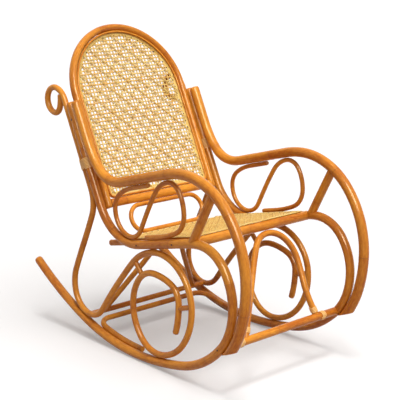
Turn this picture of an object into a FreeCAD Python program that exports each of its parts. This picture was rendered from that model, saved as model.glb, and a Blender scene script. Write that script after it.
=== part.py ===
import FreeCAD, Part
import collections
import math
import os
import Sketcher

# Rattan rocking chair. X runs across the chair, +Y to the rear, +Z up, in millimetres.
# The origin is on the floor below the middle of the chair's length and width.
# Drawing coordinates y and z are measured from the line where the runners rest on the floor.

Vector = FreeCAD.Vector
Station = collections.namedtuple("Station", "y z heading")

SIZES = [
    ("side_spacing", 510, "distance between the two side frames, middle to middle"),
    ("contact_gap", 0.3, "clearance between poles that touch"),
    ("main_dia", 28, "main pole: runner, front loop, seat rail and upright in one"),
    ("arm_dia", 32, "armrest pole"),
    ("spiral_dia", 20, "brace pole with the curl and the spiral"),
    ("scroll_dia", 15, "scroll under the armrest"),
    ("strut_dia", 27, "straight strut from seat to armrest"),
    ("peg_dia", 16, "pegs that tie the spiral's turns"),
    ("tail_reach", 544, "end of the runner behind the resting line"),
    ("tail_rise", 196, "rise of the runner's end"),
    ("tail_angle", 35, "slope of the runner's end"),
    ("foot_back", 48, "foot joint behind the front loop's foremost point"),
    ("foot_rise", 128, "rise of the runner at the foot joint"),
    ("foot_angle", 48, "slope of the runner at the foot joint"),
    ("loop_back", 52, "front loop's foremost point behind the armrest's"),
    ("loop_height", 272, "height of the front loop's foremost point"),
    ("crest_reach", 298, "front loop's crest in front of the resting line"),
    ("seat_height", 435, "height of the crest's middle"),
    ("crest_run", 44, "from the crest back to the straight seat rail"),
    ("seat_slope", 12.5, "fall of the seat to the rear"),
    ("corner_reach", 116, "where the seat's line meets the back's line"),
    ("corner_radius", 170, "bend from seat rail to upright"),
    ("back_angle", 64.2, "rise of the upright and the back"),
    ("upright_length", 482, "from that corner to the upright's end"),
    ("arm_top_drop", 6, "armrest pole's upper end below the upright's"),
    ("arm_straight", 134, "length of armrest pole that lies along the upright"),
    ("arm_dip_reach", 105, "lowest point of the armrest"),
    ("arm_dip_rise", 122, "height of the armrest's lowest point over the crest"),
    ("arm_slope", 15.1, "rise of the armrest's straight run to the front"),
    ("arm_dip_bend", 20, "bend into that run, from its corner to its ends"),
    ("arm_crest_bend", 40, "bend out of that run, from its corner to its ends"),
    ("arm_crest_reach", 230, "highest point of the armrest"),
    ("arm_front_reach", 488, "foremost point of the armrest"),
    ("arm_front_height", 345, "height of the armrest's foremost point"),
    ("arm_foot_length", 18, "armrest pole below the foot joint before its end is sawn"),
    ("arm_tip", 8, "tip of the sawn end below the foot joint"),
    ("arm_saw_angle", 21, "rise of the sawn end to the front"),
    ("curl_radius", 42, "curl at the head of the brace pole"),
    ("curl_reach", 86, "middle of the curl behind the upright's end"),
    ("brace_top", 430, "where the brace pole joins the upright, from the corner"),
    ("brace_bottom", 198, "where the brace pole leaves the upright, from the corner"),
    ("waist_bend", 50, "bend of the brace pole below the upright, from its corner to its ends"),
    ("sweep_lean", 24, "lean of the brace pole's straight run below that bend"),
    ("sweep_bend", 28, "bend from that run into the sweep, from its corner to its ends"),
    ("sweep_reach", 328, "rearmost point of the brace pole's sweep"),
    ("sweep_height", 175, "height of that point"),
    ("sweep_touch", 282, "where the sweep touches the runner"),
    ("rise_reach", 97, "middle of the straight rise to the spiral"),
    ("rise_height", 221, "height of that point"),
    ("rise_angle", 50, "slope of the rise"),
    ("spiral_touch", 75, "where the spiral touches the seat rail"),
    ("spiral_front", 261, "foremost point of the spiral"),
    ("spiral_front_height", 224, "height of that point"),
    ("spiral_foot", 115, "where the spiral touches the runner"),
    ("spiral_rear", 16, "rearmost point of the spiral's inner turn"),
    ("spiral_rear_height", 178, "height of that point"),
    ("spiral_pitch", 58, "from the outer turn to the inner turn"),
    ("spiral_inner_reach", 88, "highest point of the inner turn"),
    ("spiral_inner_drop", 66, "that point below the outer turn"),
    ("spiral_end", 95, "drop of the spiral's end below its inner front"),
    ("spiral_end_angle", 18, "lean of the spiral's end"),
    ("peg_outer_reach", 5, "upper peg on the outer turn"),
    ("peg_inner_reach", 32, "upper peg on the inner turn"),
    ("peg_tilt", 13, "rise of the lower peg's outer end and fall of its inner end"),
    ("scroll_head", 62, "upper end of the scroll under the armrest"),
    ("scroll_leave", 20, "where the scroll leaves the armrest to the rear"),
    ("scroll_rear", 99, "rearmost point of the scroll"),
    ("scroll_low", 28, "where the scroll's rear turn rests on the seat rail"),
    ("scroll_top", 147, "where the scroll's front turn meets the armrest"),
    ("scroll_lean", 28, "lean of the scroll's middle stroke to the front"),
    ("scroll_front", 228, "foremost point of the scroll"),
    ("scroll_rest", 112, "where the scroll's front turn comes down on the seat rail"),
    ("scroll_tail", 56, "length of scroll that lies on the seat rail"),
    ("strut_foot", 265, "strut's foot on the front loop"),
    ("strut_head", 353, "strut's head on the armrest"),
    ("rail_dia", 30, "front rail of the seat"),
    ("rod_dia", 20, "side rods and rear rail of the seat"),
    ("rod_overhang", 37, "side rods behind the rear rail"),
    ("seat_depth", 375, "from rear rail to front rail"),
    ("seat_lap", 6, "seat cane in front of the front rail's middle"),
    ("seat_rear_gap", 8.5, "seat cane before the rear rail's middle"),
    ("seat_side_gap", 3, "seat cane to the main poles"),
    ("cane_thick", 3.5, "woven cane panels"),
    ("cane_margin", 22, "closed edge of the cane panels"),
    ("cane_pitch", 25.2, "spacing of the rows in which open and closed squares of cane alternate"),
    ("cane_strand", 3.2, "cane left where two open squares meet at their corners"),
    ("arch_width", 24, "back arch, across"),
    ("arch_depth", 30, "back arch, front to rear"),
    ("arch_crown", 727, "crown of the back arch from the corner"),
    ("back_rail_dia", 28, "bottom rail of the back"),
    ("back_rail_rise", 134, "bottom rail from the corner"),
    ("trim_dia", 6.5, "trim rod round the back's cane"),
    ("trim_radius", 14, "corners of that trim rod"),
    ("ring_dia", 15, "oval ring below the back"),
    ("ring_half_width", 153, "half the width of that ring"),
    ("stretcher_dia", 25, "front stretcher"),
    ("rear_stretcher_dia", 18, "rear stretcher"),
    ("rear_stretcher_reach", 244, "rear stretcher behind the resting line"),
    ("hoop_dia", 20, "front hoop"),
    ("hoop_foot", 157, "front hoop's feet from the middle"),
    ("hoop_lean", 60, "crown of the front hoop from the middle"),
    ("hoop_half_width", 92, "upright shoulder of the front hoop from its crown"),
    ("hoop_lean_width", 104, "leaning shoulder of the front hoop from its crown"),
    ("hoop_shoulder", 100, "those shoulders below the crown"),
    ("hoop_straight", 50, "straight foot of the front hoop's upright leg"),
    ("hoop_foot_angle", 98, "slope of that foot"),
    ("rear_hoop_dia", 18, "rear hoop"),
    ("rear_hoop_foot", 200, "rear hoop's feet from the middle"),
    ("rear_hoop_angle", 58, "slope of the rear hoop's legs"),
    ("rear_hoop_leg", 200, "length of those straight legs"),
    ("u_dia", 18, "bent rear stretcher along the runners"),
    ("u_lift", 13, "that stretcher above the runner's middle"),
    ("u_front", 5, "its front ends, before the resting line"),
    ("u_rear", 188, "where it bends across"),
    ("u_radius", 45, "its corners"),
    ("strand_dia", 3.2, "cane strand of the bindings"),
    ("strand_gap", 1.2, "gap between turns of a binding"),
    ("upright_turns", 8, "turns of the upright's binding"),
    ("upright_binding", 261, "lowest turn of that binding from the corner"),
    ("foot_turns", 4, "turns of the bindings on the front hoop and stretcher"),
    ("foot_binding", 1, "gap from the stretcher to the lowest turn on the hoop"),
    ("stretcher_binding", 13, "that binding on the stretcher beside the hoop's foot"),
    ("nail_dia", 3, "nails"),
    ("nail_head_dia", 5, "nail heads"),
    ("nail_head", 1.2, "thickness of the nail heads"),
    ("nail_play", 0.15, "clearance round the nails"),
    ("nail_bite", 12, "depth of the nails in the inner piece"),
    ("nail_high", 425, "upper nail of the back from the corner"),
    ("nail_low", 218, "lower nail of the back from the corner"),
    ("nail_rear", 141, "rear nail of the seat from the corner"),
    ("nail_front", 312, "front nail of the seat from the corner"),
]

doc = FreeCAD.newDocument("rocking_chair")
sheet = doc.addObject("Spreadsheet::Sheet", "dims")
for row, (alias, value, meaning) in enumerate(SIZES, start=1):
    sheet.set("A%d" % row, meaning)
    sheet.set("B%d" % row, str(value))
    sheet.setAlias("B%d" % row, alias)
doc.recompute()
parts = []


def size(alias):
    """Value of one driving dimension."""
    return float(sheet.get(alias))


def touch(first, second):
    """Distance between the middles of two round poles that touch."""
    return (size(first) + size(second)) / 2 + size("contact_gap")


# Bent poles: stations with headings, joined by pairs of tangent arcs

def along(heading):
    """Unit vector of a heading in degrees, with 0 to the rear and 90 up."""
    return Vector(math.cos(math.radians(heading)), math.sin(math.radians(heading)), 0)


def tangent_arc(start, direction, end):
    """Straight run or arc from start, leaving along direction, to end."""
    chord = end - start
    axis = Vector(chord).normalize()
    side = direction - axis * direction.dot(axis)
    if side.Length < 1e-4:
        return Part.LineSegment(start, end)
    lean = math.atan2(side.Length, direction.dot(axis))
    middle = start + chord / 2 + side.normalize() * (chord.Length / 2 * math.tan(lean / 2))
    return Part.Arc(start, middle, end)


def biarc(start, start_way, end, end_way):
    """Two arcs, tangent to each other, from one point and direction to another."""
    chord = end - start
    ways = start_way + end_way
    spread = 2 * (1 - start_way.dot(end_way))
    if spread < 1e-9:
        reach = chord.dot(chord) / (4 * chord.dot(end_way))
    else:
        reach = (math.sqrt(chord.dot(ways) ** 2 + spread * chord.dot(chord)) - chord.dot(ways)) / spread
    joint = (start + end + (start_way - end_way) * reach) / 2
    first = tangent_arc(start, start_way, joint)
    straight = isinstance(first, Part.LineSegment)
    if straight and (end - joint).cross(start_way).Length < 1e-4:
        return [Part.LineSegment(start, end)]
    back = tangent_arc(end, end_way * -1, joint)
    second = Part.LineSegment(joint, end)
    if not isinstance(back, Part.LineSegment):
        second = Part.Arc(joint, back.value((back.FirstParameter + back.LastParameter) / 2), end)
    return [first, second]


class Bend:
    """Centre line of a bent pole in its own plane."""

    def __init__(self, *stations):
        self.stations = stations
        self.spans = []
        for a, b in zip(stations, stations[1:]):
            ends = Vector(a.y, a.z, 0), along(a.heading), Vector(b.y, b.z, 0), along(b.heading)
            self.spans.append(biarc(*ends))

    def curves(self):
        return [curve for span in self.spans for curve in span]

    def at(self, start, y):
        """First station at the given y from one of the stations onward."""
        later = self.spans[self.stations.index(start):]
        for curve in [curve for span in later for curve in span]:
            low, high = curve.FirstParameter, curve.LastParameter
            sign = 1 if curve.value(high).x > curve.value(low).x else -1
            if sign * (y - curve.value(low).x) < -1e-6 or sign * (curve.value(high).x - y) < -1e-6:
                continue
            for _ in range(60):
                middle = (low + high) / 2
                if sign * (curve.value(middle).x - y) < 0:
                    low = middle
                else:
                    high = middle
            way = curve.tangent(low)[0]
            return Station(curve.value(low).x, curve.value(low).y, math.degrees(math.atan2(way.y, way.x)))
        raise ValueError("no point at y %.1f after %s" % (y, start))


def beside(station, distance, turn=0):
    """Station to the left of travel by a distance, heading on or turned about."""
    step = along(station.heading + 90) * distance
    return Station(station.y + step.x, station.z + step.y, station.heading + turn)


def onward(station, distance):
    """Station further along a straight run."""
    step = along(station.heading) * distance
    return Station(station.y + step.x, station.z + step.y, station.heading)


def bent(station, reach, turn):
    """Station after a bend to the left by a turn, its ends a reach from its corner."""
    corner = onward(station, reach)._replace(heading=station.heading + turn)
    return onward(corner, reach)


# Side frame, drawn once and used on both sides

floor = size("main_dia") / 2
crest = Station(-size("crest_reach"), size("seat_height"), 0)
crest_drop = size("crest_run") * math.tan(math.radians(size("seat_slope")) / 2)
seat_start = Station(crest.y + size("crest_run"), crest.z - crest_drop, -size("seat_slope"))
seat_fall = math.tan(math.radians(size("seat_slope")))
corner_z = seat_start.z - (size("corner_reach") - seat_start.y) * seat_fall
corner = Station(size("corner_reach"), corner_z, size("back_angle"))
seat_line = Station(corner.y, corner.z, -size("seat_slope"))
corner_turn = math.radians(size("back_angle") + size("seat_slope"))
corner_run = size("corner_radius") * math.tan(corner_turn / 2)
tail = Station(size("tail_reach"), floor + size("tail_rise"), 180 + size("tail_angle"))
runner_rest = Station(0, floor, 180)
loop_y = size("loop_back") - size("arm_front_reach")
foot_joint = Station(loop_y + size("foot_back"), floor + size("foot_rise"), 180 - size("foot_angle"))
seat_end = onward(seat_line, -corner_run)
upright_end = onward(corner, size("upright_length"))
main_pole = Bend(
    tail,
    runner_rest,
    foot_joint,
    Station(loop_y, size("loop_height"), 90),
    crest,
    seat_start,
    seat_end,
    onward(corner, corner_run),
    upright_end,
)

arm_side = touch("arm_dia", "main_dia")
arm_top = beside(onward(upright_end, -size("arm_top_drop")), arm_side, 180)
arm_dip = Station(size("arm_dip_reach"), crest.z + size("arm_dip_rise"), 180)
arm_cos = math.cos(math.radians(size("arm_slope")))
arm_bends = (size("arm_dip_bend") + size("arm_crest_bend")) * (1 + arm_cos)
arm_run = (size("arm_dip_reach") + size("arm_crest_reach") - arm_bends) / arm_cos
arm_rise = bent(arm_dip, size("arm_dip_bend"), -size("arm_slope"))
arm_rise_end = onward(arm_rise, arm_run)
arm_crest = bent(arm_rise_end, size("arm_crest_bend"), size("arm_slope"))
arm_foot = beside(foot_joint, arm_side, 180)
arm_pole = Bend(
    arm_top,
    onward(arm_top, size("arm_straight")),
    arm_dip,
    arm_rise,
    arm_rise_end,
    arm_crest,
    Station(-size("arm_front_reach"), size("arm_front_height"), 270),
    arm_foot,
    onward(arm_foot, size("arm_foot_length")),
)

spiral_side = -touch("spiral_dia", "main_dia")
brace_top = beside(onward(corner, size("brace_top")), spiral_side, 180)
brace_bottom = beside(onward(corner, size("brace_bottom")), spiral_side, 180)
waist = bent(brace_bottom, size("waist_bend"), 90 - size("back_angle") + size("sweep_lean"))
sweep = Station(size("sweep_reach"), size("sweep_height"), 270)
sweep_start = bent(sweep._replace(heading=90), size("sweep_bend"), size("sweep_lean"))
curl_y = upright_end.y + size("curl_reach")
curl_r = size("curl_radius")
runner_touch = beside(main_pole.at(tail, size("sweep_touch")), spiral_side)
slope_share = math.cos(math.radians(size("seat_slope")))
spiral_rise = Station(size("rise_reach"), size("rise_height"), 180 - size("rise_angle"))
seat_touch_run = (-size("spiral_touch") - corner.y) / slope_share
seat_touch = beside(onward(seat_line, seat_touch_run), spiral_side, 180)
spiral_foot = beside(main_pole.at(runner_rest, -size("spiral_foot")), spiral_side, 180)
inner_rear = Station(size("spiral_rear"), size("spiral_rear_height"), 90)
inner_front_y = -size("spiral_front") + size("spiral_pitch")
inner_front_z = (size("spiral_front_height") + spiral_foot.z + size("spiral_pitch") + seat_touch.z) / 3
spiral_pole = Bend(
    Station(curl_y - curl_r + size("spiral_dia") / 2, upright_end.z + curl_r / 2, 265),
    Station(curl_y, upright_end.z - curl_r, 0),
    Station(curl_y + curl_r, upright_end.z, 90),
    Station(curl_y, upright_end.z + curl_r, 180),
    brace_top,
    brace_bottom,
    waist,
    sweep_start._replace(heading=sweep_start.heading + 180),
    sweep,
    runner_touch,
    spiral_rise,
    seat_touch,
    Station(-size("spiral_front"), size("spiral_front_height"), 270),
    spiral_foot,
    inner_rear,
    Station(-size("spiral_inner_reach"), seat_touch.z - size("spiral_inner_drop"), 180),
    Station(inner_front_y, inner_front_z, 270),
    Station(
        inner_front_y + size("spiral_end") * math.tan(math.radians(size("spiral_end_angle")) / 2),
        inner_front_z - size("spiral_end"),
        270 + size("spiral_end_angle"),
    ),
)

scroll_rest_run = (-size("scroll_rest") - corner.y) / slope_share
scroll_under = touch("scroll_dia", "arm_dia")
scroll_over = touch("scroll_dia", "main_dia")
scroll_head = beside(arm_pole.at(arm_dip, -size("scroll_head")), scroll_under, 180)
scroll_leave = beside(arm_pole.at(arm_dip, size("scroll_leave")), scroll_under, 180)
scroll_low = beside(main_pole.at(seat_end, size("scroll_low")), scroll_over, 180)
scroll_top = beside(arm_pole.at(arm_dip, -size("scroll_top")), scroll_under)
scroll_rest = beside(onward(seat_line, scroll_rest_run), scroll_over)
scroll_middle = Station(
    (scroll_low.y + scroll_top.y) / 2,
    (scroll_low.z + scroll_top.z) / 2,
    90 + size("scroll_lean"),
)
scroll_pole = Bend(
    scroll_head,
    scroll_leave,
    Station(size("scroll_rear"), (scroll_leave.z + scroll_low.z) / 2, 270),
    scroll_low,
    scroll_middle,
    scroll_top,
    Station(-size("scroll_front"), (scroll_top.z + scroll_rest.z) / 2, 270),
    scroll_rest,
    onward(scroll_rest, size("scroll_tail")),
)

# Places that the pieces share

SIDES = (("right", -1), ("left", 1))
half_spacing = size("side_spacing") / 2
front_edge = -size("arm_front_reach") - size("arm_dia") / 2
rear_edge = size("tail_reach") + size("main_dia") / 2 * math.sin(math.radians(size("tail_angle")))
origin_y = (front_edge + rear_edge) / 2
across = Vector(1, 0, 0)


def in_frame(x, station):
    """Point of the chair's frame from a place across and a station of the side view."""
    return Vector(x, station.y - origin_y, station.z)


def tilted(station, angle):
    """Placement of a drawing plane that holds the X axis and rises to the rear at an angle."""
    return FreeCAD.Placement(in_frame(0, station), FreeCAD.Rotation(across, angle))


seat_place = tilted(corner, -size("seat_slope"))
back_place = tilted(corner, size("back_angle"))
seat_lift = (size("rail_dia") - size("rod_dia")) / 2
rod_line = beside(seat_line, seat_lift)
rod_x = half_spacing - touch("main_dia", "rod_dia")
front_rail = onward(seat_line, -size("seat_depth"))
rear_stretcher = spiral_pole.at(runner_touch, size("rear_stretcher_reach"))
binding_room = size("strand_dia") + 2 * size("contact_gap")
arch_half = half_spacing - size("main_dia") / 2 - binding_room - size("arch_width") / 2
arch_shoulder = size("arch_crown") - arch_half

# Ways of making the pieces

BLANK_SHARE = 1 / 16  # of a pole's diameter


def keep(piece, label):
    """Name a finished piece and keep it for writing."""
    piece.Label = label
    parts.append(piece)
    return piece


def drawing(body, label, role, offset=FreeCAD.Placement()):
    """Sketch on one of the body's own origin planes."""
    plane = next(feature for feature in body.Origin.OriginFeatures if feature.Role == role)
    sketch = body.newObject("Sketcher::SketchObject", label)
    sketch.AttachmentSupport = [(plane, "")]
    sketch.MapMode = "FlatFace"
    sketch.AttachmentOffset = offset
    return sketch


def round_section(sketch, diameter):
    """Circle round the sketch's origin, its diameter an expression."""
    sketch.addGeometry(Part.Circle(), False)
    sketch.addConstraint(Sketcher.Constraint("Coincident", 0, 3, -1, 1))
    number = sketch.addConstraint(Sketcher.Constraint("Diameter", 0, 1))
    sketch.setExpression("Constraints[%d]" % number, diameter)


def oval_section(sketch, width, depth):
    """Two half circles joined by straight sides, its width and depth expressions."""
    radius = size("arch_width") / 2
    reach = (size("arch_depth") - size("arch_width")) / 2
    for turn, middle in ((0, reach), (math.pi, -reach)):
        ring = Part.Circle(Vector(0, middle, 0), Vector(0, 0, 1), radius)
        sketch.addGeometry(Part.ArcOfCircle(ring, turn, turn + math.pi), False)
    for side in (-1, 1):
        ends = Vector(side * radius, -side * reach, 0), Vector(side * radius, side * reach, 0)
        sketch.addGeometry(Part.LineSegment(*ends), False)
    for joint in ((0, 2, 2, 1), (2, 2, 1, 1), (1, 2, 3, 1), (3, 2, 0, 1)):
        sketch.addConstraint(Sketcher.Constraint("Tangent", *joint))
    sketch.addConstraint(Sketcher.Constraint("Symmetric", 0, 3, 1, 3, -1, 1))
    sketch.addConstraint(Sketcher.Constraint("Vertical", 2))
    number = sketch.addConstraint(Sketcher.Constraint("Radius", 0, radius))
    sketch.setExpression("Constraints[%d]" % number, width + " / 2")
    number = sketch.addConstraint(Sketcher.Constraint("DistanceY", 1, 3, 0, 3, 2 * reach))
    sketch.setExpression("Constraints[%d]" % number, "%s - %s" % (depth, width))


def bent_rod(label, bend, role, section, *expressions):
    """Rod of one section along a bend that is drawn on one of its body's planes."""
    body = doc.addObject("PartDesign::Body", label)
    line = drawing(body, label + "_line", role)
    line.addGeometry(bend.curves(), False)
    start = bend.stations[0]
    upright = Vector(0, 0, 1)
    facing = FreeCAD.Rotation(along(start.heading + 90), upright, along(start.heading), "ZXY")
    ring = drawing(body, label + "_section", role, FreeCAD.Placement(Vector(start.y, start.z, 0), facing))
    section(ring, *expressions)
    rod = body.newObject("PartDesign::AdditivePipe", label + "_rod")
    rod.Profile = ring
    rod.Spine = (line, ["Edge%d" % (number + 1) for number in range(len(bend.curves()))])
    return body


def side_rod(label, bend, side, diameter):
    """Bent rod in the plane of a side frame."""
    body = bent_rod(label, bend, "YZ_Plane", round_section, diameter)
    body.Placement = FreeCAD.Placement(Vector(0, -origin_y, 0), FreeCAD.Rotation())
    body.setExpression("Placement.Base.x", "%d * dims.side_spacing / 2" % side)
    return body


def seat_for(alias):
    """Expression for the hollow that a pole of that size sits in."""
    return "(dims.%s + 2 * dims.contact_gap)" % alias


def straight_rod(label, start, end, diameter, short_start=0, short_end=0):
    """Straight round rod between two points, or short of them, its diameter an expression."""
    way = (end - start).normalize()
    start = start + way * short_start
    end = end - way * short_end
    rod = doc.addObject("Part::Cylinder", label)
    rod.setExpression("Radius", "%s / 2" % diameter)
    rod.Height = (end - start).Length
    rod.Placement = FreeCAD.Placement(start, FreeCAD.Rotation(Vector(0, 0, 1), end - start))
    return rod


def short_of(alias):
    """How far a blank ends before the middle of a pole that it is fitted to."""
    return size(alias) * BLANK_SHARE


def cut(label, piece, *tools):
    """Piece with the shapes of other objects cut away."""
    tool = tools[0]
    if len(tools) > 1:
        tool = doc.addObject("Part::Compound", label + "_tools")
        tool.Links = list(tools)
    result = doc.addObject("Part::Cut", label)
    result.Base = piece
    result.Tool = tool
    return result


def swept(label, stops, diameter):
    """Round rod through points with directions in space, joined by pairs of arcs."""
    edges = []
    for (start, start_way), (end, end_way) in zip(stops, stops[1:]):
        edges += [curve.toShape() for curve in biarc(start, start_way, end, end_way)]
    ring = Part.Wire(Part.makeCircle(diameter / 2, *stops[0]))
    piece = doc.addObject("Part::Feature", label)
    path = Part.Wire(edges)
    piece.Shape = path.makePipeShell([ring], True, False)
    return piece, path


def least_gap(path, diameter, turn):
    """Least clear distance between stretches of a rod that lie at least a turn's half apart."""
    count = int(path.Length / diameter)
    points = path.discretize(Number=count)
    apart = int(count * turn / path.Length / 2)
    least = min(points[i].distanceToPoint(points[j]) for i in range(count) for j in range(i + apart, count))
    return least - diameter


# Nails through the main poles

NAILS = (
    (onward(corner, size("nail_high")), arch_half + size("arch_width") / 2),
    (onward(corner, size("nail_low")), arch_half + size("arch_width") / 2),
    (onward(seat_line, -size("nail_rear")), rod_x + size("rod_dia") / 2),
    (onward(seat_line, -size("nail_front")), rod_x + size("rod_dia") / 2),
    (foot_joint, half_spacing - size("main_dia") / 2),
)


def nail_shape(length):
    """Nail with a flat head and a point, its axis along Z and its head's underside at the origin."""
    shank = size("nail_dia") / 2
    head = size("nail_head_dia") / 2
    outline = [
        Vector(0, 0, size("nail_head")),
        Vector(head, 0, size("nail_head")),
        Vector(head, 0, 0),
        Vector(shank, 0, 0),
        Vector(shank, 0, -length + size("nail_dia")),
        Vector(0, 0, -length),
    ]
    face = Part.Face(Part.makePolygon(outline + outline[:1]))
    return face.revolve(Vector(0, 0, 0), Vector(0, 0, 1), 360)


def nails(name, side):
    """One side's nails, and the holes that they sit in."""
    driven = []
    holes = []
    head_x = half_spacing + size("main_dia") / 2 + size("contact_gap")
    facing = FreeCAD.Rotation(Vector(0, 0, 1), across * side)
    for number, (station, seat_x) in enumerate(NAILS, start=1):
        length = head_x - seat_x + size("nail_bite")
        nail = doc.addObject("Part::Feature", "%s_nail_%d" % (name, number))
        nail.Shape = nail_shape(length)
        nail.Placement = FreeCAD.Placement(in_frame(side * head_x, station), facing)
        driven.append(nail)
        tip = in_frame(side * (head_x - length - size("nail_play")), station)
        mouth = in_frame(side * head_x, station)
        hole = straight_rod("%s_hole_%d" % (name, number), tip, mouth, "(dims.nail_dia + 2 * dims.nail_play)")
        holes.append(hole)
    group = doc.addObject("Part::Compound", name + "_frame_nails")
    group.Links = driven
    keep(group, name + "_frame_nails")
    tool = doc.addObject("Part::Compound", name + "_holes")
    tool.Links = holes
    return tool


# Side frames


def saw(name, side):
    """Block that saws the armrest pole's lower end to a tip against the main pole."""
    tip = beside(onward(foot_joint, -size("arm_tip")), size("main_dia") / 2 + size("contact_gap"))
    reach = size("arm_dia")
    start = Vector(side * half_spacing - reach, -2 * reach, -2 * reach)
    block = doc.addObject("Part::Box", name + "_saw")
    block.setExpression("Length", "2 * dims.arm_dia")
    block.setExpression("Width", "4 * dims.arm_dia")
    block.setExpression("Height", "2 * dims.arm_dia")
    plane = tilted(tip, -size("arm_saw_angle"))
    block.Placement = plane.multiply(FreeCAD.Placement(start, FreeCAD.Rotation()))
    return block


hole_tools = []
main_seats = []
spiral_seats = []
for name, side in SIDES:
    holes = nails(name, side)
    hole_tools.append(holes)
    main_blank = side_rod(name + "_main_blank", main_pole, side, "dims.main_dia")
    keep(cut(name + "_main_pole", main_blank, holes), name + "_main_pole")
    arm_blank = side_rod(name + "_arm_blank", arm_pole, side, "dims.arm_dia")
    keep(cut(name + "_arm_pole", arm_blank, saw(name, side)), name + "_arm_pole")
    keep(side_rod(name + "_spiral_pole", spiral_pole, side, "dims.spiral_dia"), name + "_spiral_pole")
    keep(side_rod(name + "_scroll", scroll_pole, side, "dims.scroll_dia"), name + "_scroll")

    main_seat = side_rod(name + "_main_seat", main_pole, side, seat_for("main_dia"))
    arm_seat = side_rod(name + "_arm_seat", arm_pole, side, seat_for("arm_dia"))
    spiral_seat = side_rod(name + "_spiral_seat", spiral_pole, side, seat_for("spiral_dia"))
    main_seats.append(main_seat)
    spiral_seats.append(spiral_seat)

    side_x = side * half_spacing
    peg_ends = [short_of("spiral_dia")] * 2
    foot = in_frame(side_x, main_pole.at(crest, -size("strut_foot")))
    head = in_frame(side_x, arm_pole.at(arm_crest, -size("strut_head")))
    strut_ends = short_of("main_dia"), short_of("arm_dia")
    strut = straight_rod(name + "_strut_blank", foot, head, "dims.strut_dia", *strut_ends)
    keep(cut(name + "_arm_strut", strut, main_seat, arm_seat), name + "_arm_strut")

    outer = in_frame(side_x, spiral_pole.at(spiral_rise, size("peg_outer_reach")))
    inner = in_frame(side_x, spiral_pole.at(inner_rear, -size("peg_inner_reach")))
    peg = straight_rod(name + "_upper_peg_blank", outer, inner, "dims.peg_dia", *peg_ends)
    keep(cut(name + "_spiral_peg_upper", peg, spiral_seat), name + "_spiral_peg_upper")
    tilt = size("peg_tilt")
    outer = in_frame(side_x, Station(-size("spiral_front"), size("spiral_front_height") + tilt, 0))
    inner = in_frame(side_x, Station(inner_front_y, inner_front_z - tilt, 0))
    peg = straight_rod(name + "_lower_peg_blank", outer, inner, "dims.peg_dia", *peg_ends)
    keep(cut(name + "_spiral_peg_lower", peg, spiral_seat), name + "_spiral_peg_lower")

# Seat

front_ends = in_frame(-half_spacing, front_rail), in_frame(half_spacing, front_rail)
front_seat = straight_rod("front_rail_seat", *front_ends, seat_for("rail_dia"))
rod_seats = []
for (name, side), holes in zip(SIDES, hole_tools):
    ahead = in_frame(side * rod_x, onward(rod_line, -size("seat_depth")))
    behind = in_frame(side * rod_x, onward(rod_line, size("rod_overhang")))
    rod = straight_rod(name + "_rod_blank", ahead, behind, "dims.rod_dia", short_of("rail_dia"))
    keep(cut(name + "_seat_side_rod", rod, front_seat, holes), name + "_seat_side_rod")
    rod_seats.append(straight_rod(name + "_rod_seat", ahead, behind, seat_for("rod_dia")))

main_ends = [short_of("main_dia")] * 2
rail = straight_rod("front_rail_blank", *front_ends, "dims.rail_dia", *main_ends)
keep(cut("seat_front_rail", rail, *main_seats), "seat_front_rail")
rod_ends = [short_of("rod_dia")] * 2
rail = straight_rod("rear_rail_blank", in_frame(-rod_x, rod_line), in_frame(rod_x, rod_line),
                    "dims.rod_dia", *rod_ends)
keep(cut("seat_rear_rail", rail, *rod_seats), "seat_rear_rail")


half_hole = (size("cane_pitch") - size("cane_strand")) / 2


def cane_panel(label, outline, middles, place, height):
    """Woven cane as one flat panel with square openings, its underside at a height over its plane."""
    wires = [Part.Wire([curve.toShape() for curve in outline])]
    for x, y in middles:
        corners = [Vector(x - half_hole, y - half_hole), Vector(x + half_hole, y - half_hole),
                   Vector(x + half_hole, y + half_hole), Vector(x - half_hole, y + half_hole)]
        wires.append(Part.makePolygon(corners + corners[:1]))
    panel = doc.addObject("Part::Feature", label)
    face = Part.makeFace(wires, "Part::FaceMakerBullseye")
    panel.Shape = face.extrude(Vector(0, 0, size("cane_thick")))
    panel.Placement = place.multiply(FreeCAD.Placement(Vector(0, 0, height), FreeCAD.Rotation()))
    return keep(panel, label)


def grid(width, low, high):
    """Middles of openings that alternate with closed squares over a width and from low to high."""
    pitch = size("cane_pitch")
    columns = int((width / 2 - half_hole) / pitch)
    rows = int(((high - low) / 2 - half_hole) / pitch)
    middle = (low + high) / 2
    return [(column * pitch, middle + row * pitch)
            for row in range(-rows, rows + 1)
            for column in range(-columns, columns + 1)
            if (row + column) % 2]


margin = size("cane_margin")
seat_half = half_spacing - size("main_dia") / 2 - size("seat_side_gap")
seat_front = -size("seat_depth") - size("seat_lap")
seat_rear = -size("seat_rear_gap")
corners = [Vector(-seat_half, seat_front), Vector(seat_half, seat_front),
           Vector(seat_half, seat_rear), Vector(-seat_half, seat_rear)]
outline = [Part.LineSegment(a, b) for a, b in zip(corners, corners[1:] + corners[:1])]
spots = grid(2 * (seat_half - margin), seat_front + margin, seat_rear - margin)
cane_panel("seat_cane", outline, spots, seat_place, size("rail_dia") / 2 + size("contact_gap"))

# Back

arch_foot = size("back_rail_rise") - size("back_rail_dia") / 2
arch = Bend(
    Station(-arch_half, arch_foot, 90),
    Station(-arch_half, arch_shoulder, 90),
    Station(0, size("arch_crown"), 0),
    Station(arch_half, arch_shoulder, -90),
    Station(arch_half, arch_foot, -90),
)
blank = bent_rod("arch_blank", arch, "XY_Plane", oval_section, "dims.arch_width", "dims.arch_depth")
blank.Placement = back_place
keep(cut("back_arch", blank, *hole_tools), "back_arch")

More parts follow.
